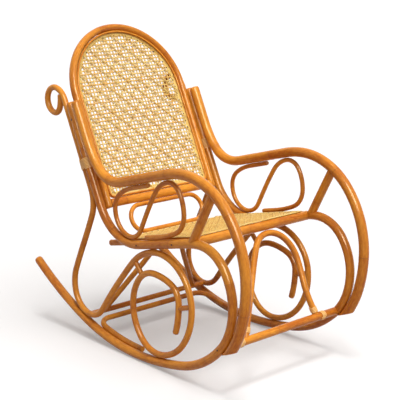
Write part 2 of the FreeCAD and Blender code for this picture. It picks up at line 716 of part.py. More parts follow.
arch_fit = seat_for("arch_width"), seat_for("arch_depth")
arch_seat = bent_rod("arch_seat", arch, "XY_Plane", oval_section, *arch_fit)
arch_seat.Placement = back_place
rise = onward(corner, size("back_rail_rise"))
arch_ends = [short_of("arch_width")] * 2
rail = straight_rod("bottom_rail_blank", in_frame(-arch_half, rise), in_frame(arch_half, rise),
                    "dims.back_rail_dia", *arch_ends)
keep(cut("back_bottom_rail", rail, arch_seat), "back_bottom_rail")

cane_half = arch_half - size("arch_width") / 2 - size("contact_gap")
cane_low = size("back_rail_rise") + size("back_rail_dia") / 2 + size("contact_gap")
round_top = [Vector(x, arch_shoulder + y) for x, y in ((cane_half, 0), (0, cane_half), (-cane_half, 0))]
outline = [
    Part.LineSegment(Vector(-cane_half, cane_low), Vector(cane_half, cane_low)),
    Part.LineSegment(Vector(cane_half, cane_low), Vector(cane_half, arch_shoulder)),
    Part.Arc(*round_top),
    Part.LineSegment(Vector(-cane_half, arch_shoulder), Vector(-cane_half, cane_low)),
]
spots = []
for x, y in grid(2 * (cane_half - margin), cane_low + margin, arch_shoulder + cane_half - margin):
    if math.hypot(abs(x) + half_hole, max(y + half_hole - arch_shoulder, 0)) < cane_half - margin:
        spots.append((x, y))
cane_panel("back_cane", outline, spots, back_place, -size("cane_thick") / 2)

trim_half = cane_half - size("trim_dia") / 2
trim_low = size("back_rail_rise") + touch("back_rail_dia", "trim_dia")
trim_turn = size("trim_radius")
trim = Bend(
    Station(0, trim_low, 0),
    Station(trim_half - trim_turn, trim_low, 0),
    Station(trim_half, trim_low + trim_turn, 90),
    Station(trim_half, arch_shoulder, 90),
    Station(0, arch_shoulder + trim_half, 180),
    Station(-trim_half, arch_shoulder, 270),
    Station(-trim_half, trim_low + trim_turn, 270),
    Station(-trim_half + trim_turn, trim_low, 360),
    Station(0, trim_low, 360),
)
body = bent_rod("back_trim", trim, "XY_Plane", round_section, "dims.trim_dia")
trim_lift = (size("cane_thick") + size("trim_dia")) / 2 + size("contact_gap")
body.Placement = back_place.multiply(FreeCAD.Placement(Vector(0, 0, trim_lift), FreeCAD.Rotation()))
keep(body, "back_trim")

rod_rise = seat_lift * math.cos(math.radians(90 - size("back_angle") - size("seat_slope")))
ring_low = rod_rise + touch("rod_dia", "ring_dia")
ring_high = size("back_rail_rise") - touch("back_rail_dia", "ring_dia")
ring_middle = (ring_low + ring_high) / 2
ring_straight = size("ring_half_width") - (ring_high - ring_low) / 2
ring = Bend(
    Station(0, ring_low, 0),
    Station(ring_straight, ring_low, 0),
    Station(size("ring_half_width"), ring_middle, 90),
    Station(ring_straight, ring_high, 180),
    Station(-ring_straight, ring_high, 180),
    Station(-size("ring_half_width"), ring_middle, 270),
    Station(-ring_straight, ring_low, 360),
    Station(0, ring_low, 360),
)
body = bent_rod("lumbar_ring", ring, "XY_Plane", round_section, "dims.ring_dia")
body.Placement = back_place
keep(body, "lumbar_ring")

# Underframe

foot_ends = in_frame(-half_spacing, foot_joint), in_frame(half_spacing, foot_joint)
rod = straight_rod("front_stretcher_blank", *foot_ends, "dims.stretcher_dia", *main_ends)
keep(cut("front_stretcher", rod, *main_seats, *hole_tools), "front_stretcher")
foot_seat = straight_rod("front_stretcher_seat", *foot_ends, seat_for("stretcher_dia"))

rear_ends = in_frame(-half_spacing, rear_stretcher), in_frame(half_spacing, rear_stretcher)
spiral_ends = [short_of("spiral_dia")] * 2
rod = straight_rod("rear_stretcher_blank", *rear_ends, "dims.rear_stretcher_dia", *spiral_ends)
keep(cut("rear_stretcher", rod, *spiral_seats), "rear_stretcher")
rear_seat = straight_rod("rear_stretcher_seat", *rear_ends, seat_for("rear_stretcher_dia"))


def span_to(low, high):
    """Distance and rise in degrees from one station of the side view to another."""
    step = Vector(high.y - low.y, high.z - low.z)
    return step.Length, math.degrees(math.atan2(step.y, step.x))


height, hoop_rise = span_to(foot_joint, front_rail)
hoop_crown = height - touch("rail_dia", "hoop_dia")
hoop_foot = size("hoop_foot")
hoop_lean = size("hoop_lean")
far_foot = Station(hoop_foot, 0, size("hoop_foot_angle"))
far_straight = onward(far_foot, size("hoop_straight"))
shoulder = hoop_crown - size("hoop_shoulder")
near_foot = Station(-hoop_foot, 0, 0)
near_shoulder = Station(hoop_lean - size("hoop_lean_width"), shoulder, 0)
_, near_slope = span_to(near_foot, near_shoulder)
near_foot = near_foot._replace(heading=near_slope)
hoop = Bend(
    near_foot,
    near_shoulder._replace(heading=near_slope),
    Station(hoop_lean, hoop_crown, 0),
    Station(hoop_lean + size("hoop_half_width"), shoulder, -90),
    Station(far_straight.y, far_straight.z, far_straight.heading - 180),
    Station(far_foot.y, far_foot.z, far_foot.heading - 180),
)
hoop_place = tilted(foot_joint, hoop_rise)
blank = bent_rod("front_hoop_blank", hoop, "XY_Plane", round_section, "dims.hoop_dia")
blank.Placement = hoop_place
keep(cut("front_hoop", blank, foot_seat), "front_hoop")

height, rear_rise = span_to(rear_stretcher, rod_line)
rear_foot = Station(-size("rear_hoop_foot"), 0, size("rear_hoop_angle"))
rear_leg = onward(rear_foot, size("rear_hoop_leg"))
rear_hoop = Bend(
    rear_foot,
    rear_leg,
    Station(0, height - touch("rod_dia", "rear_hoop_dia"), 0),
    Station(-rear_leg.y, rear_leg.z, -rear_leg.heading),
    Station(-rear_foot.y, 0, -rear_foot.heading),
)
blank = bent_rod("rear_hoop_blank", rear_hoop, "XY_Plane", round_section, "dims.rear_hoop_dia")
blank.Placement = tilted(rear_stretcher, rear_rise)
keep(cut("rear_hoop", blank, rear_seat), "rear_hoop")

u_x = half_spacing - math.sqrt(touch("main_dia", "u_dia") ** 2 - size("u_lift") ** 2)
u_leg = [
    beside(main_pole.at(runner_rest, -size("u_front")), -size("u_lift"), 180),
    beside(runner_rest, -size("u_lift"), 180),
    beside(main_pole.at(tail, size("u_rear")), -size("u_lift"), 180),
]
u_corner = onward(u_leg[-1], size("u_radius"))
stops = []
for station in u_leg:
    way = along(station.heading)
    stops.append((in_frame(-u_x, station), Vector(0, way.x, way.y)))
stops.append((in_frame(-u_x + size("u_radius"), u_corner), across))
stops.append((in_frame(u_x - size("u_radius"), u_corner), across))
for station in reversed(u_leg):
    way = along(station.heading) * -1
    stops.append((in_frame(u_x, station), Vector(0, way.x, way.y)))
piece, path = swept("rear_u_stretcher", stops, size("u_dia"))
keep(piece, "rear_u_stretcher")

# Cane bindings

strand = size("strand_dia")
lay = strand + size("strand_gap")


def bind(label, stops, turn):
    """Cane strand wound through the stops, with its least gap to itself printed."""
    piece, path = swept(label, stops, strand)
    print("%s: least gap to itself %.2f mm" % (label, least_gap(path, strand, turn)))
    keep(piece, label)


def helix(foot, axis, side, radius, turns):
    """Stops at each quarter of a helix that climbs along an axis, starting on a given side."""
    other = axis.cross(side)
    slope = math.atan(lay / (2 * math.pi * radius))
    stops = []
    for quarter in range(4 * turns + 1):
        angle = math.radians(90 * quarter)
        spoke = side * math.cos(angle) + other * math.sin(angle)
        way = axis.cross(spoke) * math.cos(slope) + axis * math.sin(slope)
        stops.append((foot + spoke * radius + axis * (lay * quarter / 4), way))
    return stops


def wrap(foot, axis, step, first, second, turns):
    """Stops of a strand wound round two parallel poles, the second one step away from the first."""
    reach = step.Length
    toward = step / reach
    beyond = axis.cross(toward)
    lean = math.asin((first - second) / reach)
    straight = reach * math.cos(lean)
    length = first * (math.pi + 2 * lean) + second * (math.pi - 2 * lean) + 2 * straight
    slope = math.atan(lay / length)
    stops = []
    run = 0
    for pole in range(2 * turns):
        middle, radius, angle, turn = Vector(), first, math.pi / 2 - lean, math.pi + 2 * lean
        if pole % 2:
            middle, radius, angle, turn = step, second, lean - math.pi / 2, math.pi - 2 * lean
        for part in (0, 0.5, 1):
            spoke = toward * math.cos(angle + turn * part) + beyond * math.sin(angle + turn * part)
            way = axis.cross(spoke) * math.cos(slope) + axis * math.sin(slope)
            climb = (run + radius * turn * part) * lay / length
            stops.append((foot + middle + spoke * radius + axis * climb, way))
        run += radius * turn + straight
    return stops, length


for name, side in SIDES:
    low = in_frame(side * half_spacing, onward(corner, size("upright_binding")))
    upward = back_place.Rotation.multVec(Vector(0, 1, 0))
    rearward = back_place.Rotation.multVec(Vector(0, 0, -1)) * -spiral_side
    radii = [size(alias) / 2 + size("contact_gap") + strand / 2 for alias in ("main_dia", "spiral_dia")]
    stops, turn = wrap(low, upward, rearward, *radii, int(size("upright_turns")))
    bind(name + "_upright_binding", stops, turn)

for (name, side), foot in zip(SIDES, (near_foot, far_foot)):
    turns = int(size("foot_turns"))
    slope = math.radians(foot.heading)
    radius = size("hoop_dia") / 2 + size("contact_gap") + strand / 2
    room = size("stretcher_dia") / 2 + size("foot_binding") + (radius + strand / 2) * abs(math.cos(slope))
    climb = (room + strand / 2) / math.sin(slope)
    low = hoop_place.multVec(Vector(foot.y, foot.z, 0) + along(foot.heading) * climb)
    way = hoop_place.Rotation.multVec(along(foot.heading))
    normal = hoop_place.Rotation.multVec(Vector(0, 0, 1))
    bind(name + "_hoop_foot_binding", helix(low, way, normal, radius, turns), 2 * math.pi * radius)
    beside_foot = in_frame(side * (hoop_foot + size("stretcher_binding")), foot_joint)
    radius = size("stretcher_dia") / 2 + size("contact_gap") + strand / 2
    stops = helix(beside_foot, across * side, normal, radius, turns)
    bind(name + "_stretcher_binding", stops, 2 * math.pi * radius)

# Checks and files

doc.recompute()
for item in doc.Objects:
    if "Invalid" in item.State or "Error" in item.State:
        raise RuntimeError("%s failed: %s" % (item.Label, item.State))
for piece in parts:
    if piece.Shape.isNull() or not piece.Shape.isValid():
        raise RuntimeError(piece.Label + " has no valid shape")
os.makedirs("parts", exist_ok=True)
for piece in parts:
    piece.Shape.exportStep("parts/%s.step" % piece.Label)
print("%d pieces written" % len(parts))
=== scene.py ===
"""Rattan rocking chair: bent poles, woven cane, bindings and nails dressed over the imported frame."""

import bmesh
import bpy
import itertools
import math
from collections import deque
from mathutils import Matrix, Vector, noise
from mathutils.kdtree import KDTree


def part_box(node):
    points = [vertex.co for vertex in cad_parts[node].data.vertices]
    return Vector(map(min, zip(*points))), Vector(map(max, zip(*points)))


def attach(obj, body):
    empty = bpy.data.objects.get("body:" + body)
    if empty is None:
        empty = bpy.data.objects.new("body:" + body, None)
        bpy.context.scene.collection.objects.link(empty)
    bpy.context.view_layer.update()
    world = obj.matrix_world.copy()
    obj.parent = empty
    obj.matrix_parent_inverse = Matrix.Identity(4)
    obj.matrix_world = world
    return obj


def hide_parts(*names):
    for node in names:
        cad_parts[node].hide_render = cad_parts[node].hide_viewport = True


bl_info = {
    "name": "Rattan Rocking Chair",
    "version": (1, 0, 0),
    "blender": (4, 5, 0),
    "location": "View3D > Sidebar > Rocking Chair",
    "description": "Bent poles, woven cane and a studio for a rattan rocking chair",
    "category": "Object",
}

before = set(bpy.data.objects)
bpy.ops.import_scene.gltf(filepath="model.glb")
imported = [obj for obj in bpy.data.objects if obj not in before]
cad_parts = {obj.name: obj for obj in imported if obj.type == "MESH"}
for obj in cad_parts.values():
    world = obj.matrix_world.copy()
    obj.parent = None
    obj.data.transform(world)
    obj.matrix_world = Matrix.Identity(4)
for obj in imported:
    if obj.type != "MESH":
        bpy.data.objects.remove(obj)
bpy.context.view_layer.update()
ROOT = "root"
SIDES = ("right", "left")
ACROSS = Vector((1, 0, 0))  # across the chair, to the sitter's left
UPWARD = Vector((0, 0, 1))
GRAIN = "grain"  # attribute that holds each point's place along and across its piece

# Reading the CAD nodes, in metres unless a line says otherwise
CORNER = 0.92  # cosine of the turn past which an outline has a corner
SLANT = 2.4  # length of a slanted end, in radii, from which it is cut after sweeping
NUDGE = 1e-4  # keeps a cutting plane off the corners of a mesh
MERGE = 1e-5  # points of a CAD mesh that are this near are one
CUT_MERGE = 1e-4  # the same for the points of a cut
SAME_SPOT = 2e-4  # the same for the points of an outline
CUT_REACH = 1e-7  # points that are this near to a cutting plane lie on it
END_REACH = 0.03  # how far the face at a rod's end spreads
SHARP = 0.7  # angle in radians past which an edge shows as a corner
MOSTLY = 0.9  # share of a direction from which it counts as lying across the chair
TINY = 1e-9
FAR = 10.0  # longer than any strand

# Bent pieces in the back's plane: node, half width, half depth and faces round it
BACK_BENDS = (
    ("back_arch", 0.015, 0.012, 20),
    ("back_trim", 0.00325, 0.00325, 10),
    ("lumbar_ring", 0.0075, 0.0075, 16),
)
RAILS = ("back_bottom_rail", "seat_front_rail", "seat_rear_rail", "front_stretcher", "rear_stretcher")
# Hoops: node, the rail at its foot, the rail at its head and its radius
FRONT_HOOP = ("front_hoop", "front_stretcher", "seat_front_rail", 0.010)
REAR_HOOP = ("rear_hoop", "rear_stretcher", "seat_rear_rail", 0.009)
HOOP_STEP = 0.01  # spacing of the points on a hoop's middle line
HOOP_FOOT, HOOP_KNEE = 1, 4  # points from an end, between which a hoop's foot is straight
UPRIGHT_RADIUS = 0.014
BRACE_RADIUS = 0.010
STRETCHER_RADIUS = 0.0125

# Bent poles
JOINT_REACH = 0.006  # half length of a joint's swelling
DRIFT = 0.008  # slow change of the radius, as a share of it
DRIFT_PACE = 3  # changes of the radius per metre
END_ROUND = 0.003  # length of the rounding at an end
END_TAPER = 0.13  # share by which the radius shrinks there
GRAIN_STEP = 1.37  # length by which two pieces' grains are apart
SEEDS = 997  # how many such grains there are
SMOOTHINGS = 2  # times that a middle line is smoothed

# Lacquered rattan
SCAR_WANDER = 0.005
SCAR_HALF = 0.0016
HALO_AHEAD = 0.004  # how far a joint's stain lies to one side of its scar
HALO_REACH = 0.022

# Woven cane
BACK_ANGLE = math.radians(64.2)
SEAT_ANGLE = math.radians(-12.5)
BACK_FLECKS = (150, 0.4)  # flecks per metre and how dark they are
# On the seat the flecks are denser and darker: partly painted shade standing for the weave's holes.
SEAT_FLECKS_AND_HOLE_SHADE = (85, 0.9)
SEED_STEP = 0.618  # step between the seeds of two strands
SHIFT_DRAW = (31.7, 0.5)  # pace and row in the noise from which a strand's shift is drawn
WIDTH_DRAW = (17.3, 9.1)
WIDTH_SPREAD = 0.3  # how much the widths differ, as a share
WANDER_DRAW = (25, 13, 3)  # pace along a strand, pace from strand to strand, and row in the noise
SLANT_EVERY = 4  # pitches from one slanting pair to the next
SLANT_LEAST = 2  # pitches that a slanting strand is at least long
SLANT_LEVEL = 2.1  # height of a slanting strand, in rises

# Wrapped edge of a panel
BAND_STEP = 0.006  # spacing of its rings
BAND_HALF = 0.0019  # half of its thickness
BAND_SIDES = 12
ARC_STEP = 4  # degrees between two points of the round top
WRAP_TURN = 0.0042  # length of edge that one turn covers
WRAP_LEAN = 90  # turns per metre across the edge, which set them aslant
HOLE_HALF = (0.0034, 0.0026)  # half length and half depth of a hole beside the edge
HOLE_INSET = 0.0022
# Near-black painted shade inside the holes beside the edge.
HOLE_SHADE_COLOUR = (0.02, 0.010, 0.004, 1.0)

# Bindings and nails
LAP_CLEAR = 0.0003  # clearance between a strip and its pole
LAP_ARC = 12  # steps round half a turn
LAP_SIDES = 8
NAIL_DARK = (0.020, 0.012, 0.008, 1.0)
NAIL_WORN = (0.075, 0.040, 0.022, 1.0)

# Studio
WHITE = (1.0, 1.0, 1.0, 1.0)
FLOOR_HALF = 40.0
FLOOR_DROP = 0.0005  # gap between the floor and the runners
FLOOR_PALE = (0.78, 0.78, 0.78, 1.0)
FLOOR_GLOW = 0.26  # share of plain white in the floor that the camera sees
FLOOR_DULL = (0.34, 0.28, 0.24, 1.0)  # floor as it lights the chair from below
AMBIENT_TINT = (1.0, 0.66, 0.48, 1.0)
SIGHT = 200  # distance to which the camera sees
# Each lamp's name, strength, angular size in degrees, direction to it and colour
LAMPS = (
    ("key", 2.8, 55, (0.05, -0.45, 0.88), (1.0, 1.0, 1.0)),
    ("overhead", 1.24, 16, (-0.05, -0.10, 1.0), (1.0, 1.0, 1.0)),
    ("fill", 0.9, 80, (-0.6, -0.67, 0.45), (1.0, 1.0, 1.0)),
    ("glint", 8.5, 30, (-0.413, -0.636, 0.651), (1.0, 0.87, 0.60)),
)
GLINT = "glint"  # the lamp that shines only in the gloss, where the others don't


# Sizes and colours that a user would change


class RattanSettings(bpy.types.PropertyGroup):
    """Lacquered rattan of the poles and rods."""

    honey: bpy.props.FloatVectorProperty(
        name="Honey", description="Pale tone of the lacquered rattan", subtype="COLOR", size=3,
        default=(0.72, 0.292, 0.030))
    amber: bpy.props.FloatVectorProperty(
        name="Amber", description="Deeper tone of the lacquered rattan", subtype="COLOR", size=3,
        default=(0.44, 0.118, 0.012))
    umber: bpy.props.FloatVectorProperty(
        name="Umber", description="Joint scars, pores and cut ends", subtype="COLOR", size=3,
        default=(0.105, 0.024, 0.005))
    joint_spacing: bpy.props.FloatProperty(
        name="Joint spacing", description="Length between two joints of a pole", unit="LENGTH",
        default=0.29)
    joint_swell: bpy.props.FloatProperty(
        name="Joint swell", description="Swelling at a joint, as a share of the radius", default=0.022)
    ring_step: bpy.props.FloatProperty(
        name="Ring step", description="Spacing of the rings of a bent pole's mesh", unit="LENGTH",
        default=0.005)
    pole_sides: bpy.props.IntProperty(
        name="Pole sides", description="Faces round a pole of the side frames", default=20)


class CaneSettings(bpy.types.PropertyGroup):
    """Woven cane of the seat and the back, and the cane of the bindings."""

    straw: bpy.props.FloatVectorProperty(
        name="Straw", description="Pale tone of the cane strands", subtype="COLOR", size=3,
        default=(0.79, 0.62, 0.205))
    wheat: bpy.props.FloatVectorProperty(
        name="Wheat", description="Deeper tone of the cane strands", subtype="COLOR", size=3,
        default=(0.68, 0.37, 0.064))
    # Toast also colours the painted shade at strand edges, between wrap turns and in the seat's holes.
    toast: bpy.props.FloatVectorProperty(
        name="Toast", description="Edges and stains of the cane strands", subtype="COLOR", size=3,
        default=(0.38, 0.115, 0.014))
    pale_lap: bpy.props.FloatVectorProperty(
        name="Pale lap", description="Pale tone of the bindings", subtype="COLOR", size=3,
        default=(0.90, 0.58, 0.22))
    deep_lap: bpy.props.FloatVectorProperty(
        name="Deep lap", description="Deeper tone of the bindings", subtype="COLOR", size=3,
        default=(0.78, 0.38, 0.09))
    pitch: bpy.props.FloatProperty(
        name="Pitch", description="Spacing of the upright and level strands", unit="LENGTH",
        default=0.0126)
    strand_width: bpy.props.FloatProperty(
        name="Strand width", description="Width of an upright or level strand", unit="LENGTH",
        default=0.0047)
    slant_width: bpy.props.FloatProperty(
        name="Slant width", description="Width of a slanting strand", unit="LENGTH", default=0.0021)
    strand_thick: bpy.props.FloatProperty(
        name="Strand thickness", description="Thickness of a cane strand", unit="LENGTH", default=0.0010)
    slant_gap: bpy.props.FloatProperty(
        name="Slant gap", description="Spacing of the two strands of a slanting pair", unit="LENGTH",
        default=0.0034)
    rise: bpy.props.FloatProperty(
        name="Rise", description="Height of a strand over its crossing", unit="LENGTH", default=0.0010)
    seat_rise: bpy.props.FloatProperty(
        name="Seat rise", description="The same height in the tighter seat", unit="LENGTH",
        default=0.00025)
    stray: bpy.props.FloatProperty(
        name="Stray", description="How far a strand strays from its line", unit="LENGTH", default=0.0009)
    crown: bpy.props.FloatProperty(
        name="Crown", description="Rounding of a strand's face", unit="LENGTH", default=0.0003)
    trim: bpy.props.FloatProperty(
        name="Trim", description="Part of the edge that lies under the trim rod", unit="LENGTH",
        default=0.0065)
    band_width: bpy.props.FloatProperty(
        name="Band width", description="Width of the wrapped edge", unit="LENGTH", default=0.012)
    lap_pitch: bpy.props.FloatProperty(
        name="Lap pitch", description="Spacing of a binding's turns", unit="LENGTH", default=0.0044)
    lap_strand: bpy.props.FloatProperty(
        name="Lap strand", description="Strand of the CAD bindings", unit="LENGTH", default=0.0032)
    lap_width: bpy.props.FloatProperty(
        name="Lap width", description="Width of a binding's flat strip", unit="LENGTH", default=0.0042)
    lap_thick: bpy.props.FloatProperty(
        name="Lap thickness", description="Thickness of a binding's flat strip", unit="LENGTH",
        default=0.0019)


class StudioSettings(bpy.types.PropertyGroup):
    """Camera and light."""

    eye: bpy.props.FloatVectorProperty(
        name="Eye", description="Place of the camera", subtype="TRANSLATION", size=3, unit="LENGTH",
        default=(-2.2634, -2.5384, 1.2804))
    aim: bpy.props.FloatVectorProperty(
        name="Aim", description="Point that the camera looks at", subtype="TRANSLATION", size=3,
        unit="LENGTH", default=(0, -0.0404, 0.479))
    lens: bpy.props.FloatProperty(name="Lens", description="Focal length in millimetres", default=96.9)
    ambient: bpy.props.FloatProperty(
        name="Ambient", description="Level of the light from all round", default=0.12)
    lamps: bpy.props.FloatProperty(
        name="Lamps", description="Level of all the lamps together", default=1.0)


# Shader maths


class Socket:
    """One output in a shader tree. Arithmetic on it adds Math nodes."""

    def __init__(self, finish, output):
        self.finish = finish
        self.output = output

    def math(self, operation, *others):
        inputs = dict(enumerate((self,) + others))
        return self.finish.node("ShaderNodeMath", {"operation": operation}, inputs)

    def __add__(self, other):
        return self.math("ADD", other)

    def __radd__(self, other):
        return self.math("ADD", other)

    def __sub__(self, other):
        return self.math("SUBTRACT", other)

    def __rsub__(self, other):
        return self.finish.node("ShaderNodeMath", {"operation": "SUBTRACT"}, {0: other, 1: self})

    def __mul__(self, other):
        return self.math("MULTIPLY", other)

    def __rmul__(self, other):
        return self.math("MULTIPLY", other)

    def __truediv__(self, other):
        return self.math("DIVIDE", other)

    def __abs__(self):
        return self.math("ABSOLUTE")

    def kept(self):
        """The value held between 0 and 1."""
        return self.math("MINIMUM", 1).math("MAXIMUM", 0)

    def near(self, reach):
        """1 where the value is 0, falling to 0 at a reach either side."""
        return (1 - abs(self) / reach).math("MAXIMUM", 0)

    def swing(self, amount):
        """The value's distance from one half, times an amount."""
        return (self - 0.5) * amount

    def past(self, level, steepness):
        """0 up to a level, and from there rising to 1."""
        return ((self - level) * steepness).kept()

    def within(self, spacing):
        """Place from the middle of the length, one of many of that spacing, that the value is in."""
        return (self / spacing).math("FRACT").swing(spacing)


class Finish:
    """A material, or the world, whose nodes are added one by one."""

    def __init__(self, holder):
        self.holder = holder
        holder.use_nodes = True
        self.tree = holder.node_tree
        self.tree.nodes.clear()

    def node(self, kind, settings=None, inputs=None, output=0):
        """Add a node: its settings first, then the values or links of its sockets."""
        made = self.tree.nodes.new(kind)
        for name, value in (settings or {}).items():
            setattr(made, name, value)
        for name, value in (inputs or {}).items():
            if isinstance(value, Socket):
                self.tree.links.new(value.output, made.inputs[name])
            else:
                made.inputs[name].default_value = value
        return Socket(self, made.outputs[output]) if len(made.outputs) else made

    def grain(self):
        """Place along a piece and across it, straightened out."""
        return self.node("ShaderNodeAttribute", {"attribute_name": GRAIN}, output="Vector")

    def parts(self, vector):
        """The three numbers of a vector."""
        made = self.node("ShaderNodeSeparateXYZ", inputs={0: vector})
        return [Socket(self, output) for output in made.output.node.outputs]

    def noise(self, vector, scales, detail=2.0, rough=0.5):
        """Noise from 0 to 1 on a vector that is stretched by three scales."""
        stretched = self.node("ShaderNodeVectorMath", {"operation": "MULTIPLY"}, {0: vector, 1: scales})
        return self.node("ShaderNodeTexNoise", inputs={
            "Vector": stretched, "Scale": 1.0, "Detail": detail, "Roughness": rough})

    def mix(self, factor, first, second):
        """Colour between two colours."""
        settings = {"data_type": "RGBA", "clamp_factor": True}
        return self.node("ShaderNodeMix", settings, {0: factor, 6: first, 7: second}, 2)

    def bump(self, height, strength, distance):
        return self.node("ShaderNodeBump", inputs={
            "Height": height, "Strength": strength, "Distance": distance})

    def backdrop_rays(self):
        """1 for the rays that see the white backdrop: from the camera, off a gloss and through glass."""
        path = self.node("ShaderNodeLightPath").output.node.outputs
        camera, gloss, glass = [
            Socket(self, path[name]) for name in ("Is Camera Ray", "Is Glossy Ray", "Is Transmission Ray")]
        return (camera + gloss + glass).kept()

    def surface(self, inputs):
        """Finish with one Principled shader."""
        shader = self.node("ShaderNodeBsdfPrincipled", inputs=inputs)
        self.node("ShaderNodeOutputMaterial", inputs={"Surface": shader})
        return self.holder


def colour(rgb):
    return (*rgb, 1.0)


# Finishes


def rattan_finish():
    """Lacquered rattan: long fibres, slow changes of tone and dark joint scars."""
    look = bpy.context.scene.rocker_rattan
    made = Finish(bpy.data.materials.new("lacquered_rattan"))
    grain = made.grain()
    along = made.parts(grain)[0]
    patches = made.noise(grain, (5, 40, 40), detail=3)
    fibres = made.noise(grain, (9, 520, 520), detail=4, rough=0.6)
    hairs = made.noise(grain, (40, 2600, 2600))
    mottle = made.noise(grain, (55, 130, 130), detail=3, rough=0.6)
    wander = made.noise(grain, (30, 90, 90))
    scar = along.within(look.joint_spacing) + wander.swing(SCAR_WANDER)
    section = (along / look.joint_spacing + 0.5).math("FLOOR")
    own = made.node("ShaderNodeTexWhiteNoise", {"noise_dimensions": "1D"}, {"W": section}, "Value")
    line = scar.near(SCAR_HALF) * (own * 0.6 + 0.3)
    halo = (scar - HALO_AHEAD).near(HALO_REACH)
    tone = patches.swing(1.7) + mottle.swing(1.3) + fibres.swing(1.2) + own.swing(0.5) + 0.45
    pores = hairs.past(0.56, 4)
    base = made.mix(tone.kept(), colour(look.honey), colour(look.amber))
    base = made.mix(halo * 0.38, base, colour(look.amber))
    base = made.mix(pores * 0.16 + line * 0.62, base, colour(look.umber))
    height = fibres * 0.35 + hairs * 0.25 - line * 0.9 + halo * 0.5
    return made.surface({
        "Base Color": base,
        "Roughness": fibres * 0.12 + line * 0.2 + 0.14,
        "Normal": made.bump(height, strength=0.16, distance=0.0006),
        "Specular IOR Level": 0.18,
    })


def cut_end_finish():
    """Cut end of a pole: dark pores in a paler ground, stained by the lacquer."""
    look = bpy.context.scene.rocker_rattan
    made = Finish(bpy.data.materials.new("cut_end"))
    grain = made.grain()
    pores = made.noise(grain, (0, 1500, 1500)).past(0.55, 6)
    base = made.mix(made.noise(grain, (0, 200, 200)), colour(look.amber), colour(look.honey))
    base = made.mix(pores * 0.7, base, colour(look.umber))
    return made.surface({
        "Base Color": base,
        "Roughness": pores * 0.2 + 0.5,
        "Normal": made.bump(1 - pores, strength=0.4, distance=0.0006),
    })


def cane_finish(name, flecks_per_metre, fleck_share):
    """Cane strand: straw with fine lengthwise streaks, darker along its edges with painted shade between
    the strands, and brown flecks that on the seat are partly painted shade in the weave's holes.
    """
    look = bpy.context.scene.rocker_cane
    made = Finish(bpy.data.materials.new(name))
    grain = made.grain()
    _, across, kind = made.parts(grain)
    streaks = made.noise(grain, (30, 2.6, 9), detail=3, rough=0.6)
    stains = made.noise(grain, (16, 0.4, 9))
    tone = streaks.swing(1.5) + stains.swing(1.2) + kind.math("FRACT").swing(0.9) + 0.42
    base = made.mix(tone.kept(), colour(look.straw), colour(look.wheat))
    # Darker toward a strand's sides: browner edges deepened into painted shade between the strands.
    edge = (abs(across) * 1.25 - 0.45).kept()
    blot = stains.past(0.66, 6)
    # Brown flecks along the strands; on the seat they are partly painted shade standing for the holes of
    # the weave.
    flecks_and_hole_shade = made.noise(grain, (flecks_per_metre, 0.6, 9)).past(0.58, 7)
    base = made.mix(edge * 0.6 + blot * 0.25 + flecks_and_hole_shade * fleck_share, base, colour(look.toast))
    return made.surface({
        "Base Color": base,
        "Roughness": streaks * 0.2 + 0.34,
        "Normal": made.bump(streaks - edge * 0.8, strength=0.35, distance=0.0004),
        "Specular IOR Level": 0.3,
    })


def band_finish(half):
    """Cane wrapped round a panel's edge: one stripe for each turn, darkened as painted shade in the groove
    between turns, and holes along its inner side, painted nearly black as the shade inside them.
    """
    look = bpy.context.scene.rocker_cane
    made = Finish(bpy.data.materials.new("wrapped_edge"))
    grain = made.grain()
    along, _, outward = made.parts(grain)
    streaks = made.noise(grain, (120, 160, 400), detail=3)
    stains = made.noise(grain, (40, 90, 90))
    step = (along / WRAP_TURN + outward * WRAP_LEAN).math("FRACT") - 0.5
    # Darker line where two turns meet: painted shade in the groove between them.
    seam_shade = (abs(step) * 2 - 0.7).kept() * 3
    # Holes beside the edge, dented by the bump and painted nearly black as the shade inside them.
    beside = along.within(2 * look.pitch).near(HOLE_HALF[0])
    hole_shade = (beside * (outward + half - HOLE_INSET).near(HOLE_HALF[1]) * 3.2).kept()
    tone = streaks.swing(1.5) + stains.swing(1.2) + 0.4
    base = made.mix(tone.kept(), colour(look.straw), colour(look.wheat))
    base = made.mix((seam_shade * 0.4).kept(), base, colour(look.toast))
    base = made.mix(hole_shade, base, HOLE_SHADE_COLOUR)
    return made.surface({
        "Base Color": base,
        "Roughness": streaks * 0.15 + 0.4,
        "Normal": made.bump(1 - seam_shade - hole_shade + streaks * 0.2, strength=0.6, distance=0.0008),
        "Specular IOR Level": 0.3,
    })


def binding_finish():
    """Flat split cane of the bindings: pale, with fibres along the strip and browner edges, darkened as
    painted shade where the turns meet.
    """
    look = bpy.context.scene.rocker_cane
    made = Finish(bpy.data.materials.new("bound_cane"))
    grain = made.grain()
    across = made.parts(grain)[1]
    streaks = made.noise(grain, (25, 1800, 1800), detail=3, rough=0.6)
    stains = made.noise(grain, (60, 120, 120))
    tone = streaks.swing(1.3) + stains.swing(1.1) + 0.4
    # Darker toward the strip's sides: browner edges deepened into painted shade where the turns meet.
    edge = (abs(across) / (look.lap_width / 2) * 2.2 - 1.35).kept()
    base = made.mix(tone.kept(), colour(look.pale_lap), colour(look.deep_lap))
    base = made.mix(edge * 0.6, base, colour(look.toast))
    return made.surface({
        "Base Color": base,
        "Roughness": streaks * 0.18 + 0.32,
        "Normal": made.bump(streaks - edge, strength=0.3, distance=0.0004),
        "Specular IOR Level": 0.3,
    })


